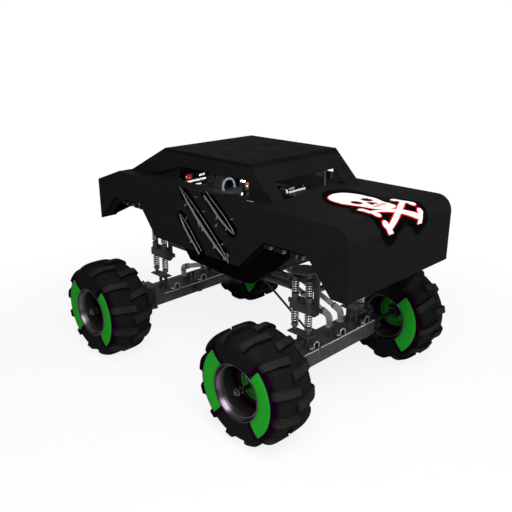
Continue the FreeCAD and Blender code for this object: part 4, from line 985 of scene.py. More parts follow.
def hood_layer(name, outlines, lift, material):
    """Lay flat shapes on the hood, each a hair above the one before."""
    pieces = []
    for index, outline in enumerate(outlines):
        piece = plate("shape", outline)
        with shaping(piece):
            bpy.ops.mesh.select_all(action="SELECT")
            bpy.ops.mesh.quads_convert_to_tris()
            for axis, place, step, count in (("X", 1.60, 0.030, 50), ("Y", -0.52, 0.040, 27)):
                for cut in range(count):
                    sliced(AXES[axis] * (place + cut * step), AXES[axis])
            sliced((HOOD_END, 0, 0), AXES["X"], clear_outer=True)
            bpy.ops.mesh.select_all(action="SELECT")
            bpy.ops.mesh.extrude_region_move(TRANSFORM_OT_translate={"value": (0, 0, 0.0012)})
        pieces.append(laid(piece, lambda point: on_hood(point, lift + 0.0003 * index)))
    return fitting(name, pieces, material, "hood", 50)


class TRUCK_OT_ornament(bpy.types.Operator):
    """Lay the skull and bones on the hood and the claw marks on the doors"""
    bl_idname = "truck.ornament"
    bl_label = "Ornament"

    def execute(self, context):
        settings = context.scene.truck_body
        white = plain_enamel("ornament_white", settings.ornament_white, 0.5)
        red = plain_enamel("ornament_red", settings.ornament_red, 0.45, 0.1)
        hollow = plain_enamel("ornament_black", (0.0006, 0.0004, 0.0004), 0.6, 0.02)
        hood_layer("ornament_outline", ornament_outlines(settings.outline), OUTLINE_LIFT, red)
        hood_layer("ornament_fill", ornament_outlines(0.0), FILL_LIFT, white)
        start, bite, end = TEETH
        lines = [(bite - BITE_HALF, bite + BITE_HALF, *BITE_SIDES)]
        lines += [(start, end, y - TOOTH_HALF, y + TOOTH_HALF) for y in TOOTH_GAPS]
        teeth = [[(low, near), (high, near), (high, far), (low, far)] for low, high, near, far in lines]
        rims = [curved_outline(eye, settings.outline * 0.6) for eye in EYES]
        rims.append(curved_outline(NOSE_HOLE, settings.outline * 0.5))
        hood_layer("ornament_rims", rims + teeth, RIM_LIFT, red)
        hood_layer("ornament_hollows", [curved_outline(hole) for hole in (*EYES, NOSE_HOLE)], HOLLOW_LIFT, hollow)
        silver = bright_metal("claw_silver", settings.silver, (0.30, 0.48), 0.3)
        gash = plain_enamel("claw_gash", (0.0004, 0.0004, 0.0005), 0.7, 0.01)
        for name, side in zip(SIDES, (1, -1)):
            lips, gashes = claw_marks(side)
            fitting("claw_lips_" + name, lips, silver, "side_panel_" + name)
            fitting("claw_gashes_" + name, gashes, gash, "side_panel_" + name)
        return {"FINISHED"}


# ---------------------------------------------------------------- chassis, power train and cockpit
class TRUCK_OT_chassis(bpy.types.Operator):
    """Finish the tube chassis, roll cage and floor"""
    bl_idname = "truck.chassis"
    bl_label = "Chassis and cage"

    def execute(self, context):
        rail = coated_steel("rail_grey", (0.050, 0.050, 0.051))
        steelwork("chassis_frame", rail)
        steelwork("roll_cage", coated_steel("cage_grey", (0.020, 0.020, 0.021)))
        steelwork("floor_pan", coated_steel("floor_sheet", (0.035, 0.035, 0.036), wear=0.3))
        return {"FINISHED"}


AIR_AXIS_Z = 2.950                     # height of the blower's intake barrel
BARREL = (
    (-1.250, 0.0), (-1.250, 0.080), (-1.235, 0.120), (-1.220, 0.138), (-1.150, 0.138), (-1.140, 0.146), (-1.120, 0.146),
    (-1.110, 0.138), (-1.030, 0.138), (-1.020, 0.146), (-1.000, 0.146), (-0.990, 0.138), (-0.905, 0.138),
    (-0.890, 0.156), (-0.800, 0.158), (-0.780, 0.152), (-0.690, 0.152), (-0.672, 0.146), (-0.660, 0.118),
    (-0.672, 0.104), (-0.760, 0.096), (-0.760, 0.0),
)
INTAKE_RING = (
    (-0.676, 0.112), (-0.676, 0.150), (-0.664, 0.154), (-0.652, 0.148), (-0.648, 0.130), (-0.654, 0.114),
)
STRAPS = (-1.075, -0.945)
# (x, turn round the barrel from its top)
INTAKE_BOLTS = ((-0.99, -0.7), (-0.99, -1.2), (-0.86, -0.55), (-0.86, -1.5), (-1.12, -0.8), (-1.12, -1.6))
BOLT_REACH = 0.158
BLOWER_CUT = 2.745                     # the plain casting above here gives way to the barrel
PINION_Z, OUTPUT_Z = 0.842, 1.545      # heights of a driveshaft's two ends
CASE_REACH = 0.19                      # from the transfer case's middle to its flanges


def driveshaft(out, back):
    """A driveshaft from an axle's pinion to the transfer case, with its yokes and flanges."""
    case_x = centre("transfer_case").x + back * CASE_REACH
    foot, top = Vector((out - back * 0.035, 0, PINION_Z)), Vector((case_x + back * 0.03, 0, OUTPUT_Z))
    run = (top - foot).normalized()
    pieces = [stretched("shaft", foot, top, 0.019, 20)]
    for start, end in ((foot + run * 0.02, foot + run * 0.10), (top - run * 0.10, top - run * 0.02)):
        pieces.append(rounded(stretched("yoke", start, end, 0.030, 20), 0.006))
    for x, z, way in ((out, PINION_Z, -back), (case_x, OUTPUT_Z, back)):
        pieces.append(rounded(stretched("flange", (x, 0, z), (x + way * 0.022, 0, z), 0.055, 24), 0.003))
    return pieces


class TRUCK_OT_power(bpy.types.Operator):
    """Finish the engine, transfer case and driveshafts, and give the blower its ribbed intake barrel"""
    bl_idname = "truck.power"
    bl_label = "Power train"

    def execute(self, context):
        steelwork("engine", coated_steel("cast_iron_grey", (0.06, 0.06, 0.062), wear=0.2), "_casting")
        grey = coated_steel("blower_casting", (0.030, 0.030, 0.031), wear=0.25)
        case = stripped(carried("blower", "_casting"), lambda face: middle(face).z > BLOWER_CUT)
        eased(case, 0.004, (), 2, 40)
        barrel = turned("intake", BARREL, (0, 0, AIR_AXIS_Z), "X", 40)
        # painted shade: the faces inside the intake's mouth are painted almost black
        toned(barrel, lambda face: -0.95 if face.center.x > -0.80 and math.hypot(
            face.center.y, face.center.z - AIR_AXIS_Z) < 0.112 else 0.0)
        neck = rounded(block("neck", (-1.15, -0.09, 2.72), (-0.78, 0.09, 2.86)), 0.02, 2)
        straps = [turned("strap", ((x - 0.012, 0.154), (x - 0.012, 0.162), (x + 0.012, 0.162), (x + 0.012, 0.154)),
                         (0, 0, AIR_AXIS_Z), "X", 40, True) for x in STRAPS]
        fitting("blower_housing", [case, barrel, neck, *straps], grey, "blower", 35, ["blower"])
        ring = turned("ring", INTAKE_RING, (0, 0, AIR_AXIS_Z), "X", 48, True)
        fitting("blower_intake_ring", [ring], plain_enamel("ring_blue_grey", (0.20, 0.26, 0.29), 0.35), "blower")
        bolts = []
        for x, turn in INTAKE_BOLTS:
            at = Vector((x, BOLT_REACH * math.sin(turn), AIR_AXIS_Z + BOLT_REACH * math.cos(turn)))
            out = (at - Vector((x, 0, AIR_AXIS_Z))).normalized()
            bolts.append(rounded(stretched("bolt", at, at + out * 0.022, 0.013, 6), 0.002, 1))
        fitting("blower_bolts", bolts, bright_metal("bolt_zinc", (0.40, 0.40, 0.41), (0.3, 0.45)), "blower")
        steelwork("transfer_case", coated_steel("case_casting", (0.05, 0.05, 0.052)), "_casting")
        low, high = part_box("driveshafts")
        shafts = driveshaft(high.x, 1) + driveshaft(low.x, -1)
        fitting("driveshafts_turned", shafts, coated_steel("shaft_steel", (0.05, 0.05, 0.052)), "driveshafts", 35,
                ["driveshafts"])
        return {"FINISHED"}


def comb(start, end, wide, teeth):
    """A bar with a row of teeth along its upper side."""
    start, end = Vector(start), Vector(end)
    pieces = [rounded(stretched("bar", start, end, wide * 0.22, 8), wide / 12, 1)]
    for index in range(teeth):
        at = start.lerp(end, (index + 0.5) / teeth)
        half = (end - start).length / teeth * 0.26
        size = Vector((wide * 0.4, half, wide * 0.6)) if abs((end - start).y) > abs((end - start).x) else Vector(
            (half, wide * 0.4, wide * 0.6))
        pieces.append(rounded(block("tooth", at - size, at + size), wide / 8, 1))
    return pieces


def fixtures(rows):
    """Eased boxes from (low, high, easing) rows and combs from (start, end, width, teeth) rows."""
    pieces = []
    for row in rows:
        pieces += comb(*row) if len(row) == 4 else [box_piece(*row)]
    return pieces


def lens(at, radius):
    """A small domed lens."""
    return rounded(added("lens", bpy.ops.mesh.primitive_uv_sphere_add, segments=12, ring_count=8, radius=radius,
                         location=at), radius * 0.1, 1, 60)


CONTROL_BOXES = (
    ((-0.840, -0.90, 3.06), (-0.720, -0.50, 3.29), 0.012), ((-0.830, -0.56, 3.10), (-0.730, -0.44, 3.25), 0.010),
    ((0.955, -0.45, 3.185), (1.075, -0.02, 3.262), 0.010), ((0.315, -0.62, 3.02), (0.360, -0.575, 3.30), 0.008),
    ((0.36, -0.64, 3.135), (0.47, -0.56, 3.160), 0.004),
)
CONTROL_BRACKETS = (
    ((-0.805, -0.885, 2.89), (-0.775, -0.835, 3.08), 0.004), ((-0.805, -0.86, 3.04), (-0.775, -0.50, 3.07), 0.004),
    ((0.322, -0.885, 2.89), (0.352, -0.575, 2.92), 0.004), ((0.322, -0.615, 2.90), (0.352, -0.580, 3.04), 0.004),
    ((0.50, 0.925, 3.168), (1.02, 0.940, 3.285), 0.004), ((0.99, -0.42, 3.165), (1.31, -0.05, 3.180), 0.004),
    ((1.00, -0.40, 3.17), (1.04, -0.06, 3.20), 0.004),
)
CONTROL_COMBS = (
    ((-0.705, -0.86, 3.150), (-0.705, -0.47, 3.160), 0.030, 12),
    ((-0.705, -0.62, 3.225), (-0.705, -0.49, 3.235), 0.030, 4),
    ((-0.705, -0.70, 3.085), (-0.705, -0.57, 3.090), 0.024, 4),
    ((-0.730, -0.925, 3.125), (-0.695, -0.885, 3.165), 0.006),
    ((1.082, -0.40, 3.200), (1.082, -0.03, 3.206), 0.024, 11), ((1.070, -0.455, 3.20), (1.090, -0.43, 3.25), 0.005),
    ((0.300, -0.635, 3.275), (0.375, -0.600, 3.300), 0.006), ((0.330, -0.650, 3.065), (0.350, -0.630, 3.11), 0.004),
)
CONTROL_FITTINGS = (
    ((-0.99, -0.86, 3.155), (-0.86, -0.86, 3.150), 0.036, 4), ((0.475, -0.60, 3.215), (0.560, -0.60, 3.215), 0.045, 3),
    ((1.078, -0.39, 3.232), (1.092, -0.345, 3.262), 0.004), ((1.078, -0.33, 3.236), (1.092, -0.285, 3.266), 0.004),
    ((0.92, -1.10, 3.172), (1.06, -1.10, 3.172), 0.020, 4),
)
CONTROL_CAPS = (((-0.740, -0.885, 3.165), (-0.685, -0.765, 3.275), 0.022),)
CONTROL_HOUSINGS = (
    ((0.385, -0.635, 3.165), (0.475, -0.565, 3.28), 0.020), ((1.062, -0.47, 3.18), (1.082, -0.455, 3.27), 0.005),
)
# (place, radius)
CYAN_LENSES = (
    ((-0.690, -0.890, 3.235), 0.009), ((-0.685, -0.69, 3.150), 0.009), ((0.445, -0.640, 3.23), 0.009),
    ((1.093, -0.442, 3.228), 0.009), ((1.093, -0.442, 3.205), 0.009),
)
RED_LENSES = (((-0.680, -0.83, 3.215), 0.013), ((1.080, -0.075, 3.250), 0.009))


class TRUCK_OT_cockpit(bpy.types.Operator):
    """Finish the seat and wheel, and fit the control boxes that show through the windows"""
    bl_idname = "truck.cockpit"
    bl_label = "Cockpit"

    def execute(self, context):
        steelwork("seat", coated_steel("seat_shell_grey", (0.03, 0.03, 0.032)), "_shell", 0.012)
        steelwork("steering_wheel", coated_steel("grip_black", (0.01, 0.01, 0.01)), "_wheel", 0.0)
        black = coated_steel("box_black", (0.0015, 0.0015, 0.0016), wear=0.0, specular=0.05)
        white = plain_enamel("comb_white", (0.80, 0.80, 0.80), 0.4)
        grey = plain_enamel("fitting_grey", (0.24, 0.24, 0.25), 0.45)
        red = plain_enamel("cap_red", (0.16, 0.002, 0.002), 0.4)
        brown = plain_enamel("housing_brown", (0.016, 0.004, 0.0015), 0.4)
        cyan, signal = glow("lens_cyan", (0.10, 0.75, 0.80), 0.9), glow("lens_red", (0.90, 0.0, 0.0), 1.0)
        shelf = coated_steel("shelf_grey", (0.010, 0.010, 0.010), wear=0.05)
        for name, rows, material in (
                ("boxes", CONTROL_BOXES, black), ("brackets", CONTROL_BRACKETS, shelf),
                ("combs", CONTROL_COMBS, white), ("fittings", CONTROL_FITTINGS, grey),
                ("caps", CONTROL_CAPS, red), ("housings", CONTROL_HOUSINGS, brown)):
            fitting("control_" + name, fixtures(rows), material, "roll_cage")
        for name, rows, material in (("cyan", CYAN_LENSES, cyan), ("red", RED_LENSES, signal)):
            fitting("control_lenses_" + name, [lens(*row) for row in rows], material, "roll_cage")
        return {"FINISHED"}


# ---------------------------------------------------------------- towers and coil-overs
COIL_REACH = 0.060
COILS = ((0.122, 0.338), (0.602, 0.808))         # heights of the two springs over the pad
COLUMN = (
    (0.0, 0.0), (0.0, 0.024), (0.010, 0.030), (0.052, 0.030), (0.060, 0.024), (0.070, 0.024), (0.070, 0.050),
    (0.076, 0.054), (0.088, 0.054), (0.091, 0.050), (0.099, 0.050), (0.102, 0.054), (0.114, 0.054),
    (0.120, 0.050), (0.120, 0.020), (0.340, 0.020), (0.340, 0.036), (0.346, 0.042), (0.376, 0.042),
    (0.380, 0.039), (0.388, 0.039), (0.392, 0.042), (0.500, 0.042), (0.504, 0.039), (0.512, 0.039),
    (0.516, 0.042), (0.522, 0.050), (0.528, 0.054), (0.552, 0.054), (0.556, 0.050), (0.564, 0.050),
    (0.568, 0.054), (0.594, 0.054), (0.600, 0.048), (0.600, 0.022), (0.810, 0.022), (0.810, 0.046),
    (0.816, 0.052), (0.852, 0.052), (0.860, 0.046), (0.860, 0.024), (0.905, 0.024), (0.910, 0.030),
    (0.945, 0.030), (0.950, 0.024), (0.970, 0.024), (0.970, 0.0),
)


def columns(node):
    """Feet of a node's four shock columns."""
    low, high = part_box(node)
    return [Vector((x, y, low.z)) for y in (low.y + COIL_REACH, high.y - COIL_REACH)
            for x in (low.x + COIL_REACH, high.x - COIL_REACH)]


def coil_spring(name, start, end):
    """A coil spring round the Z axis."""
    settings = bpy.context.scene.truck_springs
    wire = settings.wire
    reach = COIL_REACH - wire
    spring = added(name, bpy.ops.mesh.primitive_circle_add, vertices=8, radius=wire, fill_type="NGON",
                   location=(reach, 0, start + wire), rotation=(math.pi / 2, 0, 0))
    bpy.ops.object.modifier_add(type="SCREW")
    screw = spring.modifiers[-1]
    screw.steps = screw.render_steps = 20
    screw.iterations = settings.turns
    screw.screw_offset = (end - start - 2 * wire) / settings.turns
    bpy.ops.object.modifier_apply(modifier=screw.name)
    return tidy(spring)


class TRUCK_OT_towers(bpy.types.Operator):
    """Finish the shock towers and build the coil-overs"""
    bl_idname = "truck.towers"
    bl_label = "Towers and coil-overs"

    def execute(self, context):
        tower = coated_steel("tower_grey", (0.050, 0.050, 0.051), wear=0.25)
        body = coated_steel("shock_steel", (0.085, 0.085, 0.087), wear=0.4)
        bright = bright_metal("spring_steel", (0.62, 0.62, 0.63), (0.16, 0.32))
        # painted shade: the slim rods between and below the springs are painted almost black
        column = toned(turned("shock_column", COLUMN, (0, 0, 0), sides=32), lambda face: (
            -0.9 if math.hypot(face.center.x, face.center.y) < 0.028 else 0.0))
        smooth(column, 40, False)
        coils = joined("spring_pair", [coil_spring("coil", *span) for span in COILS])
        smooth(coils, 60, False)
        for end in ENDS:
            steelwork(end + "_shock_towers", tower)
            node = end + "_coilovers"
            for pattern, material, suffix, replaced in (
                    (column, body, "_shock_bodies", [node]), (coils, bright, "_coil_springs", [])):
                copies = [twin(pattern, "copy", Matrix.Translation(foot)) for foot in columns(node)]
                finished(joined(end + suffix, copies), material, node, replaced)
        for pattern in (column, coils):
            bpy.data.objects.remove(pattern)
        return {"FINISHED"}


# ---------------------------------------------------------------- axles
BEAM_TOP = 0.950
SPINDLE = (1.230, 1.600)               # stretch of the slim spindle, from the middle of the truck
SPINDLE_RADIUS = 0.030
RACK = ((-0.825, -0.70), (-0.45, -0.26), (0.02, 0.50), (0.54, 0.93))      # toothed runs along the beam's edge
RACK_PLAIN = ((-0.70, -0.50), (-0.26, 0.02), (0.50, 0.54))
TOOTH = 0.030
LINK_BEND = 0.095


def slimmed(piece):
    """Turn the knuckle's housing down to a slim spindle between its block and the wheel's hub."""
    hub = centre(piece.name.replace("_casting", "").replace("knuckle", "rim"))
    side = math.copysign(1, hub.y)
    with shaping(piece):
        for reach in SPINDLE:
            sliced((0, side * reach, 0), AXES["Y"])
    for vertex in piece.data.vertices:
        out = Vector((vertex.co.x - hub.x, 0, vertex.co.z - hub.z))
        if SPINDLE[0] - 0.001 < side * vertex.co.y < SPINDLE[1] - 0.001 and 0.04 < out.length < 0.11:
            vertex.co -= out * (1 - SPINDLE_RADIUS / out.length)
    return piece


# across the truck
LAMPS = (-0.61, 0.03, 0.66)
PLAIN_TRIM = (-0.68, 0.0, 0.68)
BEADS = (-0.705, -0.47, -0.235, 0.0, 0.235, 0.47, 0.705)
# (height or offset, radius) of the turned trim
LAMP = ((-0.002, 0.0), (-0.002, 0.047), (0.028, 0.046), (0.050, 0.036), (0.074, 0.024), (0.084, 0.0))
LAMP_RING = ((0.0, 0.018), (0.0, 0.034), (0.020, 0.034), (0.020, 0.018))
HOOP = ((-0.009, 0.053), (-0.009, 0.064), (0.009, 0.064), (0.009, 0.053))
HOOP_FOOT = BEAM_TOP + 0.0605          # height where a hoop's arch ends and its legs start


def bare_beam(node):
    """The beam's steel without its plain hoops and lamps, whose finished ones stand nearer its edge."""
    beam_x = centre(node).x

    def plain_trim(face):
        at = middle(face)
        if at.z < BEAM_TOP + 0.0005:
            return False
        for y in PLAIN_TRIM:
            aside = abs(at.y - y)
            arch = math.hypot(aside, at.z - BEAM_TOP - 0.09) < 0.064 or 0.040 < aside < 0.0605
            if (abs(at.x - beam_x - 0.07) < 0.0165 and arch) or math.hypot(at.x - beam_x + 0.010, aside) < 0.0415:
                return True
        return False

    return eased(stripped(carried(node, "_steel"), plain_trim), 0.003, (), 2, 40)


def rack(edge):
    """Bright toothed runs and plain bars along one edge of the beam's top plate."""
    pieces = [box_piece((edge - 0.010, start, BEAM_TOP - 0.002), (edge + 0.004, end, BEAM_TOP + 0.006), 0.002, 1)
              for start, end in RACK]
    for start, end in RACK_PLAIN:
        bar = stretched("plain", (edge, start, BEAM_TOP + 0.006), (edge, end, BEAM_TOP + 0.006), 0.010, 12)
        pieces.append(rounded(bar, 0.002, 1))
    tooth = box_piece((-0.008, -0.0065, 0.0), (0.006, 0.0065, 0.018), 0.002, 1)
    for start, end in RACK:
        count = round((end - start) / TOOTH)
        for index in range(count):
            at = Vector((edge - 0.002, start + (index + 0.5) * (end - start) / count, BEAM_TOP))
            pieces.append(twin(tooth, "tooth", Matrix.Translation(at)))
    bpy.data.objects.remove(tooth)
    return pieces


def hoop(x, y):
    """Half a ring on two legs that stand on the beam."""
    arch = turned("hoop", HOOP, (x, y, BEAM_TOP + 0.06), "X", 32, True)
    with shaping(arch):
        sliced((0, 0, HOOP_FOOT), AXES["Z"], clear_inner=True)
        pick(lambda edge: all(abs(vertex.co.z - HOOP_FOOT) < 0.0002 for vertex in edge.verts), "EDGE")
        bpy.ops.mesh.extrude_region_move(TRANSFORM_OT_translate={"value": (0, 0, -0.0610)})
        bpy.ops.mesh.select_all(action="SELECT")
        bpy.ops.mesh.fill_holes(sides=0)
    return tidy(arch)


def axle_trim(end):
    """The racks, weld beads, lamps and hoops on one axle's beam, and glowing cyan dots beside the lamps as painted
    glints.
    """
    node = end + "_axle_beam"
    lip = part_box(node)[1].x
    bright = bright_metal("rack_" + end, (0.62, 0.62, 0.63), (0.25, 0.42), 0.3)
    fitting(end + "_axle_racks", rack(lip - 0.006), bright, node)
    beads = [box_piece((lip - 0.013, y - 0.005, 0.770), (lip - 0.008, y + 0.005, 0.925), 0.002, 1) for y in BEADS]
    fitting(end + "_axle_beads", beads, coated_steel("bead_steel_" + end, (0.10, 0.10, 0.102), wear=0.5), node)
    lamps, rings, hoops, glint_dots = [], [], [], []
    lamp_x, hoop_x = lip - 0.077, lip - 0.038
    for y in LAMPS:
        lamps.append(turned("lamp", LAMP, (lamp_x, y, BEAM_TOP), "Z", 24))
        rings.append(turned("ring", LAMP_RING, (lamp_x - 0.010, y + 0.150, BEAM_TOP + 0.040), "X", 20, True))
        rings.append(box_piece((lamp_x - 0.010, y + 0.143, BEAM_TOP - 0.001),
                               (lamp_x + 0.008, y + 0.157, BEAM_TOP + 0.012), 0.002))
        hoops.append(hoop(hoop_x, y + 0.085))
        # painted highlights: small glowing cyan dots beside each lamp stand in for glints
        for shift in (-0.020, 0.016):
            glint_dots.append(lens((lamp_x + 0.040, y - 0.018 + shift, BEAM_TOP + 0.040 - shift * 0.3), 0.0080))
    fitting(end + "_lamp_bodies", lamps, plain_enamel("lamp_amber_" + end, (0.055, 0.022, 0.004), 0.35), node)
    fitting(end + "_lamp_rings", rings, coated_steel("ring_black_" + end, (0.003, 0.003, 0.003), wear=0.0), node)
    fitting(end + "_lamp_hoops", hoops, bright_metal("hoop_white_" + end, (0.70, 0.70, 0.71), (0.3, 0.45)), node, 40)
    fitting(end + "_lamp_dots", glint_dots, glow("dot_cyan_" + end, (0.06, 0.75, 0.85), 0.9), node)


def link_paths(end):
    """Start, corner and foot of an axle's two upper links."""
    low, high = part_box(end + "_links")
    back = end == "rear"
    foot_x, pivot_x = (low.x + 0.060, high.x - 0.063) if back else (high.x - 0.060, low.x + 0.063)
    feet = ((0.0, 0.060), (0.480, 0.430)) if back else ((0.220, 0.200), (high.y - 0.060, 0.430))
    for foot_y, eye_y in feet:
        yield (Vector((pivot_x, eye_y, 1.649)), Vector((foot_x, foot_y, 1.135)), Vector((foot_x, foot_y, BEAM_TOP)))


class TRUCK_OT_axles(bpy.types.Operator):
    """Finish the axles, sleeve the links' elbows and trim the beams"""
    bl_idname = "truck.axles"
    bl_label = "Axles and links"

    def execute(self, context):
        steel = coated_steel("axle_steel", (0.040, 0.040, 0.041), wear=0.35)
        dark = coated_steel("knuckle_steel", (0.022, 0.020, 0.022), wear=0.2)
        polished = plain_enamel("tube_silver", (0.40, 0.40, 0.41), 0.30, 0.9)
        collar = coated_steel("collar_black", (0.006, 0.006, 0.006), wear=0.05)
        for end in ENDS:
            beam = end + "_axle_beam"
            finished(smooth(bare_beam(beam)), steel, beam, [beam])
            steelwork(end + "_links", polished, "_tubes", 0.002)
            elbows, collars = [], []
            for start, corner, foot in link_paths(end):
                reach = (corner - start).length
                sleeve = [(reach - 0.130, 0.0), (reach - 0.130, 0.050), (reach - 0.118, 0.056), (reach - 0.03, 0.056),
                          (reach + 0.060, 0.054), (reach + 0.085, 0.048), (reach + 0.130, 0.046), (reach + 0.130, 0.0)]
                elbows.append(swept("elbow", sleeve, start, corner, foot, LINK_BEND))
                for run, wide in ((reach - 0.150, 0.056), (reach - 0.60, 0.050)):
                    ring = [(run - 0.010, 0.0), (run - 0.010, wide), (run + 0.012, wide), (run + 0.012, 0.0)]
                    collars.append(swept("collar", ring, start, corner, foot, LINK_BEND))
            fitting(end + "_link_elbows", elbows, polished, end + "_links", 40)
            fitting(end + "_link_collars", collars, collar, end + "_links", 40)
            steelwork("tie_rod_" + end, polished, "_tube", 0.002)
            for hand in SIDES:
                node = "knuckle_" + end + "_" + hand
                piece = slimmed(carried(node, "_casting"))
                finished(smooth(eased(piece, 0.003, (), 2, 40), 35), dark, node, [node])
            axle_trim(end)
        return {"FINISHED"}


# ---------------------------------------------------------------- wheels
TYRE_HALF_WIDTH = (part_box("tyre_front_left")[1].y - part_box("tyre_front_left")[0].y) / 2
CARCASS_CREST = WHEEL_RADIUS - 0.052
WIDEST = 0.585                         # radius at which the carcass is widest
BEAD_RADIUS = 0.424
LUG_START, LUG_FOOT = -0.030, 0.672     # along the carcass from its crest, and radius where a lug ends
LUG_SLANT = math.radians(9)
RIM_HALF = (
    (0.384, 0.404), (0.384, 0.4235), (0.3885, 0.4255), (0.394, 0.421), (0.394, 0.411), (0.388, 0.406), (0.381, 0.404),
    (0.334, 0.377), (0.330, 0.3745), (0.329, 0.366), (0.323, 0.3625), (0.310, 0.3625), (0.306, 0.358),
    (0.298, 0.356), (0.290, 0.358), (0.286, 0.364), (0.120, 0.362), (0.060, 0.360),
)
# half of the disc's section: (offset, radius)
DISC_HALF = (
    (0.012, 0.086), (0.012, 0.100), (0.020, 0.108), (0.024, 0.120), (0.026, 0.235), (0.022, 0.262), (0.016, 0.268),
    (0.010, 0.272), (0.010, 0.280), (0.018, 0.285), (0.030, 0.290), (0.036, 0.300), (0.037, 0.325),
    (0.033, 0.338), (0.022, 0.345), (0.010, 0.350), (0.004, 0.358),
)
POCKETS, POCKET_BAND = 8, (0.120, 0.235)
# (outward, radius) of the hub on its stub
HUB = (
    (0.070, 0.0), (0.070, 0.0503), (-0.075, 0.0503), (-0.075, 0.088), (-0.068, 0.095), (-0.030, 0.095), (-0.024, 0.088),
    (0.024, 0.088), (0.030, 0.080), (0.045, 0.066), (0.050, 0.066), (0.072, 0.062), (0.080, 0.056), (0.086, 0.032),
    (0.240, 0.028), (0.244, 0.046), (0.252, 0.050), (0.268, 0.050), (0.276, 0.046), (0.280, 0.034), (0.326, 0.034),
    (0.330, 0.052), (0.336, 0.058), (0.352, 0.058), (0.360, 0.050), (0.364, 0.036), (0.384, 0.034),
    (0.392, 0.026), (0.392, 0.0),
)
BOLT = ((0.004, 0.0), (0.004, 0.0085), (-0.004, 0.0085), (-0.007, 0.006), (-0.007, 0.0))
STUD = ((0.004, 0.0), (0.004, 0.006), (-0.016, 0.006), (-0.018, 0.0))
# count, distance from the wheel's axis, and how far out
RIM_BOLTS, HUB_STUDS = (16, 0.276, 0.010), (8, 0.104, 0.014)


def carcass(turn):
    """(offset, radius) on the carcass at an angle from its crest, 90 degrees at its widest."""
    across = TYRE_HALF_WIDTH * 0.985 * math.copysign(abs(math.sin(turn)) ** 0.62, math.sin(turn))
    if abs(turn) <= math.pi / 2:
        return across, WIDEST + (CARCASS_CREST - WIDEST) * math.cos(turn) ** 0.78
    return across, WIDEST - 0.42 * abs(math.cos(turn)) ** 0.9


def carcass_line():
    """Points from the crest to the bead, with the distance run along them."""
    line, run = [(0.0, *carcass(0.0))], 0.0
    for step in range(1, 400):
        y, r = carcass(step * math.pi / 500)
        run += math.hypot(y - line[-1][1], r - line[-1][2])
        line.append((run, y, r))
        if r < BEAD_RADIUS:
            break
    return line


def on_carcass(line, run):
    """(offset, radius, outward direction) at a distance along the carcass from its crest."""
    reach, index = abs(run), 1
    while index < len(line) - 1 and line[index][0] < reach:
        index += 1
    (s0, y0, r0), (s1, y1, r1) = line[index - 1], line[index]
    share = (reach - s0) / (s1 - s0)
    y, r = y0 + (y1 - y0) * share, r0 + (r1 - r0) * share
    dy, dr = y1 - y0, r1 - r0
    size = math.hypot(dy, dr)
    out = (-dr / size, dy / size)
    return (y, r, out) if run >= 0 else (-y, r, (-out[0], out[1]))


def tread_lug(line):
    """One lug in the flat: X along the tread's travel, Y along the carcass, Z up from it, with painted light and shade
    on its faces.
    """
    settings = bpy.context.scene.truck_wheels
    half, top = settings.lug_width / 2, settings.lug_height
    lug_end = next(run for run, _, r in line if r < LUG_FOOT)
    lug = block("lug", (-half, LUG_START, -0.012), (half, lug_end, top))
    with shaping(lug):
        pick(lambda face: face.normal.z > 0.9)
        bpy.ops.transform.resize(value=(0.72, 0.94, 1.0), center_override=(0, LUG_START, top))
        for step in range(1, 14):
            sliced((0, LUG_START + (lug_end - LUG_START) * step / 14, 0), AXES["Y"], threshold=0.0001)
        pick(lambda face: face.normal.z < -0.9)
        bpy.ops.mesh.delete(type="FACE")
    # painted light and shade: the top painted twice as light, walls facing along the travel lighter, walls facing back
    # darker, the rest a little lighter
    return toned(rounded(lug, 0.004, 1, 40), lambda face: (
        1.0 if face.normal.z > 0.9 else -0.5 if face.normal.x < -0.5 else 0.5 if face.normal.x > 0.5 else 0.2))


def wrapped(lug, line, name, phase, side):
    """Lay the flat lug round the carcass at a phase angle, on one side of its crest."""
    copy = twin(lug, name, Matrix.Identity(4))
    for vertex in copy.data.vertices:
        travel, run, height = vertex.co
        fade = 1.0 - 0.25 * min(1.0, max(0.0, (run - 0.26) / 0.16))
        y, r, (out_y, out_r) = on_carcass(line, run)
        y, r = y + out_y * height * fade, r + out_r * height * fade
        angle = phase + (travel + run * math.tan(LUG_SLANT)) / max(r, 0.66)
        vertex.co = (r * math.cos(angle), side * y, r * math.sin(angle))
    if side > 0:
        copy.data.flip_normals()
    return copy


def tyre_pattern():
    """A tyre round the origin: the carcass and two staggered rows of lugs."""
    settings = bpy.context.scene.truck_wheels
    line = carcass_line()
    picks = [line[round(index * (len(line) - 1) / 16)] for index in range(17)]
    half = [(y, r) for _, y, r in picks]
    ring = [(-y, r) for y, r in reversed(half)][:-1] + half
    ring += [(0.384, BEAD_RADIUS - 0.018), (-0.384, BEAD_RADIUS - 0.018)]
    body = turned("carcass", ring, (0, 0, 0), "Y", 120, closed=True)
    lug = tread_lug(line)
    pitch = 2 * math.pi / settings.lugs
    pieces = [body]
    for side, shift in ((-1, math.radians(14)), (1, math.radians(14) + pitch / 2)):
        for index in range(settings.lugs):
            pieces.append(wrapped(lug, line, "lug_copy", shift + index * pitch, side))
    bpy.data.objects.remove(lug)
    return smooth(joined("tyre_pattern", pieces), 32, False)


def disc_pattern():
    """The painted disc of a wheel, with a ring of shallow pockets on both faces."""
    ring = [(-y, r) for y, r in DISC_HALF] + [(y, r) for y, r in reversed(DISC_HALF)]
    disc = turned("disc_pattern", ring, (0, 0, 0), "Y", 96, closed=True)
    inner, outer = POCKET_BAND

    def pocket(face):
        at = middle(face)
        sector = math.atan2(at.z, at.x) / (2 * math.pi) * POCKETS
        return (inner < math.hypot(at.x, at.z) < outer and abs(face.normal.y) > 0.9
                and abs(sector - round(sector)) < 0.36)

    with shaping(disc):
        pick(pocket)
        bpy.ops.mesh.inset(thickness=0.009, depth=-0.009, use_even_offset=True)
    return smooth(disc, 30, False)


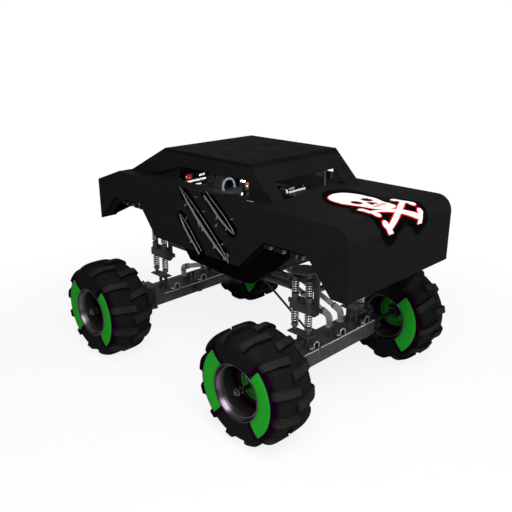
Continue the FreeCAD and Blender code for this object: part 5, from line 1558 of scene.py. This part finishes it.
def bolt_ring(bolt, count, reach, place):
    """Copies of a bolt head round the wheel's axis, on its outer side."""
    copies = []
    for index in range(count):
        turn = Matrix.Rotation(2 * math.pi * (index + 0.5) / count, 4, "Y")
        copies.append(twin(bolt, "bolt", turn @ Matrix.Translation((reach, -place, 0))))
    return copies


class TRUCK_OT_wheels(bpy.types.Operator):
    """Build the lugged tyres, stepped rims, painted discs and turned hubs"""
    bl_idname = "truck.wheels"
    bl_label = "Wheels"

    def execute(self, context):
        settings = context.scene.truck_wheels
        tyre = tyre_pattern()
        ring = [(-y, r) for y, r in RIM_HALF] + [(y, r) for y, r in reversed(RIM_HALF)]
        rim = smooth(turned("rim_pattern", ring, (0, 0, 0), "Y", 96, closed=True), 40, False)
        disc = disc_pattern()
        hub = smooth(turned("hub_pattern", [(-place, r) for place, r in HUB], (0, 0, 0), "Y", 48), 30, False)
        bolt = turned("bolt", BOLT, (0, 0, 0), "Y", 8)
        stud = turned("stud", STUD, (0, 0, 0), "Y", 8)
        bolts = joined("bolt_pattern", bolt_ring(bolt, *RIM_BOLTS) + bolt_ring(stud, *HUB_STUDS))
        steel = bright_metal("hub_steel", (0.09, 0.078, 0.092), (0.22, 0.42))
        dark = coated_steel("bolt_steel", (0.012, 0.010, 0.012), wear=0.3)
        for corner in CORNERS:
            hub_at = centre("rim_" + corner)
            place = Matrix.Translation(hub_at)
            if hub_at.y > 0:
                place = place @ Matrix.Rotation(math.pi, 4, "Z")
            disc_node = "wheel_centre_" + corner
            rubber = tyre_rubber("rubber_" + corner, hub_at, settings.rubber, settings.green)
            finished(twin(tyre, "tyre_" + corner + "_lugged", place), rubber, "tyre_" + corner, ["tyre_" + corner])
            metal = rim_metal("rim_metal_" + corner, hub_at, (0.12, 0.105, 0.122))
            finished(twin(rim, "rim_" + corner + "_stepped", place), metal, "rim_" + corner, ["rim_" + corner])
            paint = wheel_paint("wheel_green_" + corner, hub_at, settings.green)
            finished(twin(disc, disc_node + "_disc", place), paint, disc_node, [disc_node])
            finished(twin(hub, disc_node + "_hub", place), steel, disc_node)
            finished(twin(bolts, disc_node + "_bolts", place), dark, disc_node)
        for pattern in (tyre, rim, disc, hub, bolts, bolt, stud):
            bpy.data.objects.remove(pattern)
        return {"FINISHED"}


# ---------------------------------------------------------------- stage
EYE = Vector((7.0665, -7.024, 5.330))
LOOK = Vector((-0.6696, 0.6654, -0.3299))


class TRUCK_OT_stage(bpy.types.Operator):
    """Set the camera, the soft lamps and the pale floor"""
    bl_idname = "truck.stage"
    bl_label = "Stage"

    def execute(self, context):
        settings, scene = context.scene.truck_stage, context.scene
        deselect()
        bpy.ops.object.camera_add(location=EYE, rotation=LOOK.to_track_quat("-Z", "Y").to_euler())
        camera = context.object
        camera.data.lens, camera.data.sensor_width = settings.lens, 36.0
        camera.data.clip_end = 200.0
        scene.camera = camera
        floor = added("floor", bpy.ops.mesh.primitive_plane_add, size=90.0, location=(0, 0, -0.002))
        pale = Finish("pale_floor", Metallic=0.0, Roughness=0.8, Specular_IOR_Level=0.1)
        grain = pale.span(pale.noise(3.0, 3), 0.3, 0.7)
        pale.link(pale.mix(grain, (0.80, 0.80, 0.80), (0.83, 0.83, 0.83)), "Base Color")
        seen = pale.node("Emission", {"Strength": 1.0, "Color": (1, 1, 1, 1)})
        rays = pale.node("LightPath").outputs
        far = pale.span(pale.vector("LENGTH", pale.place), 4.2, 8.0, 0.86, 1.0)
        camera_ray = pale.maths("MULTIPLY", rays["Is Camera Ray"], far)
        blend = pale.node("MixShader", {0: camera_ray})
        pale.tree.links.new(pale.shader.outputs[0], blend.inputs[1])
        pale.tree.links.new(seen.outputs[0], blend.inputs[2])
        output = next(node for node in pale.tree.nodes if node.type == "OUTPUT_MATERIAL")
        pale.tree.links.new(blend.outputs[0], output.inputs[0])
        floor.data.materials.append(pale.material)
        world = scene.world or bpy.data.worlds.new("sky")
        scene.world = world
        world.use_nodes = True
        tree = world.node_tree
        tree.nodes.clear()
        paths = tree.nodes.new("ShaderNodeLightPath").outputs
        clear = tree.nodes.new("ShaderNodeMath")
        clear.operation = "MAXIMUM"
        tree.links.new(paths["Is Camera Ray"], clear.inputs[0])
        tree.links.new(paths["Is Transmission Ray"], clear.inputs[1])
        level = tree.nodes.new("ShaderNodeMapRange")
        level.inputs[3].default_value, level.inputs[4].default_value = settings.world, 1.0
        tree.links.new(clear.outputs[0], level.inputs["Value"])
        sky = tree.nodes.new("ShaderNodeBackground")
        sky.inputs["Color"].default_value = (1, 1, 1, 1)
        tree.links.new(level.outputs[0], sky.inputs["Strength"])
        out = tree.nodes.new("ShaderNodeOutputWorld")
        tree.links.new(sky.outputs[0], out.inputs[0])
        for name, place, target, power, size in (
                ("cabin_light", (0.55, -0.80, 3.50), (-0.70, 0.30, 3.00), settings.cabin, 0.35),
                ("cowl_light", (0.60, -0.70, 3.50), (0.75, 0.85, 3.05), settings.cabin * 0.6, 0.25),
                ("key_light", (6.5, -5.6, 10.0), (0, 0, 1.5), settings.key, 8.0),
                ("fill_light", (7.0, 7.0, 5.0), (0, 0, 1.5), settings.fill, 5.0)):
            bpy.ops.object.light_add(type="AREA", location=place, rotation=(
                Vector(target) - Vector(place)).to_track_quat("-Z", "Y").to_euler())
            lamp = context.object
            lamp.name = name
            lamp.data.energy, lamp.data.size = power, size
        scene.view_settings.view_transform = "Standard"
        return {"FINISHED"}


class TRUCK_PT_panel(bpy.types.Panel):
    """The truck's sizes, colours and building steps"""
    bl_idname = "TRUCK_PT_panel"
    bl_label = "Monster truck"
    bl_space_type = "VIEW_3D"
    bl_region_type = "UI"
    bl_category = "Truck"

    def draw(self, context):
        for name, _ in SETTINGS:
            box = self.layout.box()
            group = getattr(context.scene, name)
            for key in type(group).__annotations__:
                box.prop(group, key)
        for operator in OPERATORS:
            self.layout.operator(operator.bl_idname)


SETTINGS = (("truck_body", BodySettings), ("truck_wheels", WheelSettings), ("truck_springs", SpringSettings),
            ("truck_stage", StageSettings))
OPERATORS = (TRUCK_OT_stage, TRUCK_OT_body, TRUCK_OT_ornament, TRUCK_OT_chassis, TRUCK_OT_power, TRUCK_OT_cockpit,
             TRUCK_OT_towers, TRUCK_OT_axles, TRUCK_OT_wheels)
CLASSES = tuple(group for _, group in SETTINGS) + OPERATORS + (TRUCK_PT_panel,)


def register():
    for cls in CLASSES:
        bpy.utils.register_class(cls)
    for name, group in SETTINGS:
        setattr(bpy.types.Scene, name, PointerProperty(type=group))


def unregister():
    for name, _ in SETTINGS:
        delattr(bpy.types.Scene, name)
    for cls in reversed(CLASSES):
        bpy.utils.unregister_class(cls)


def main():
    register()
    for operator in OPERATORS:
        family, name = operator.bl_idname.split(".")
        getattr(getattr(bpy.ops, family), name)()


if __name__ == "__main__":
    main()
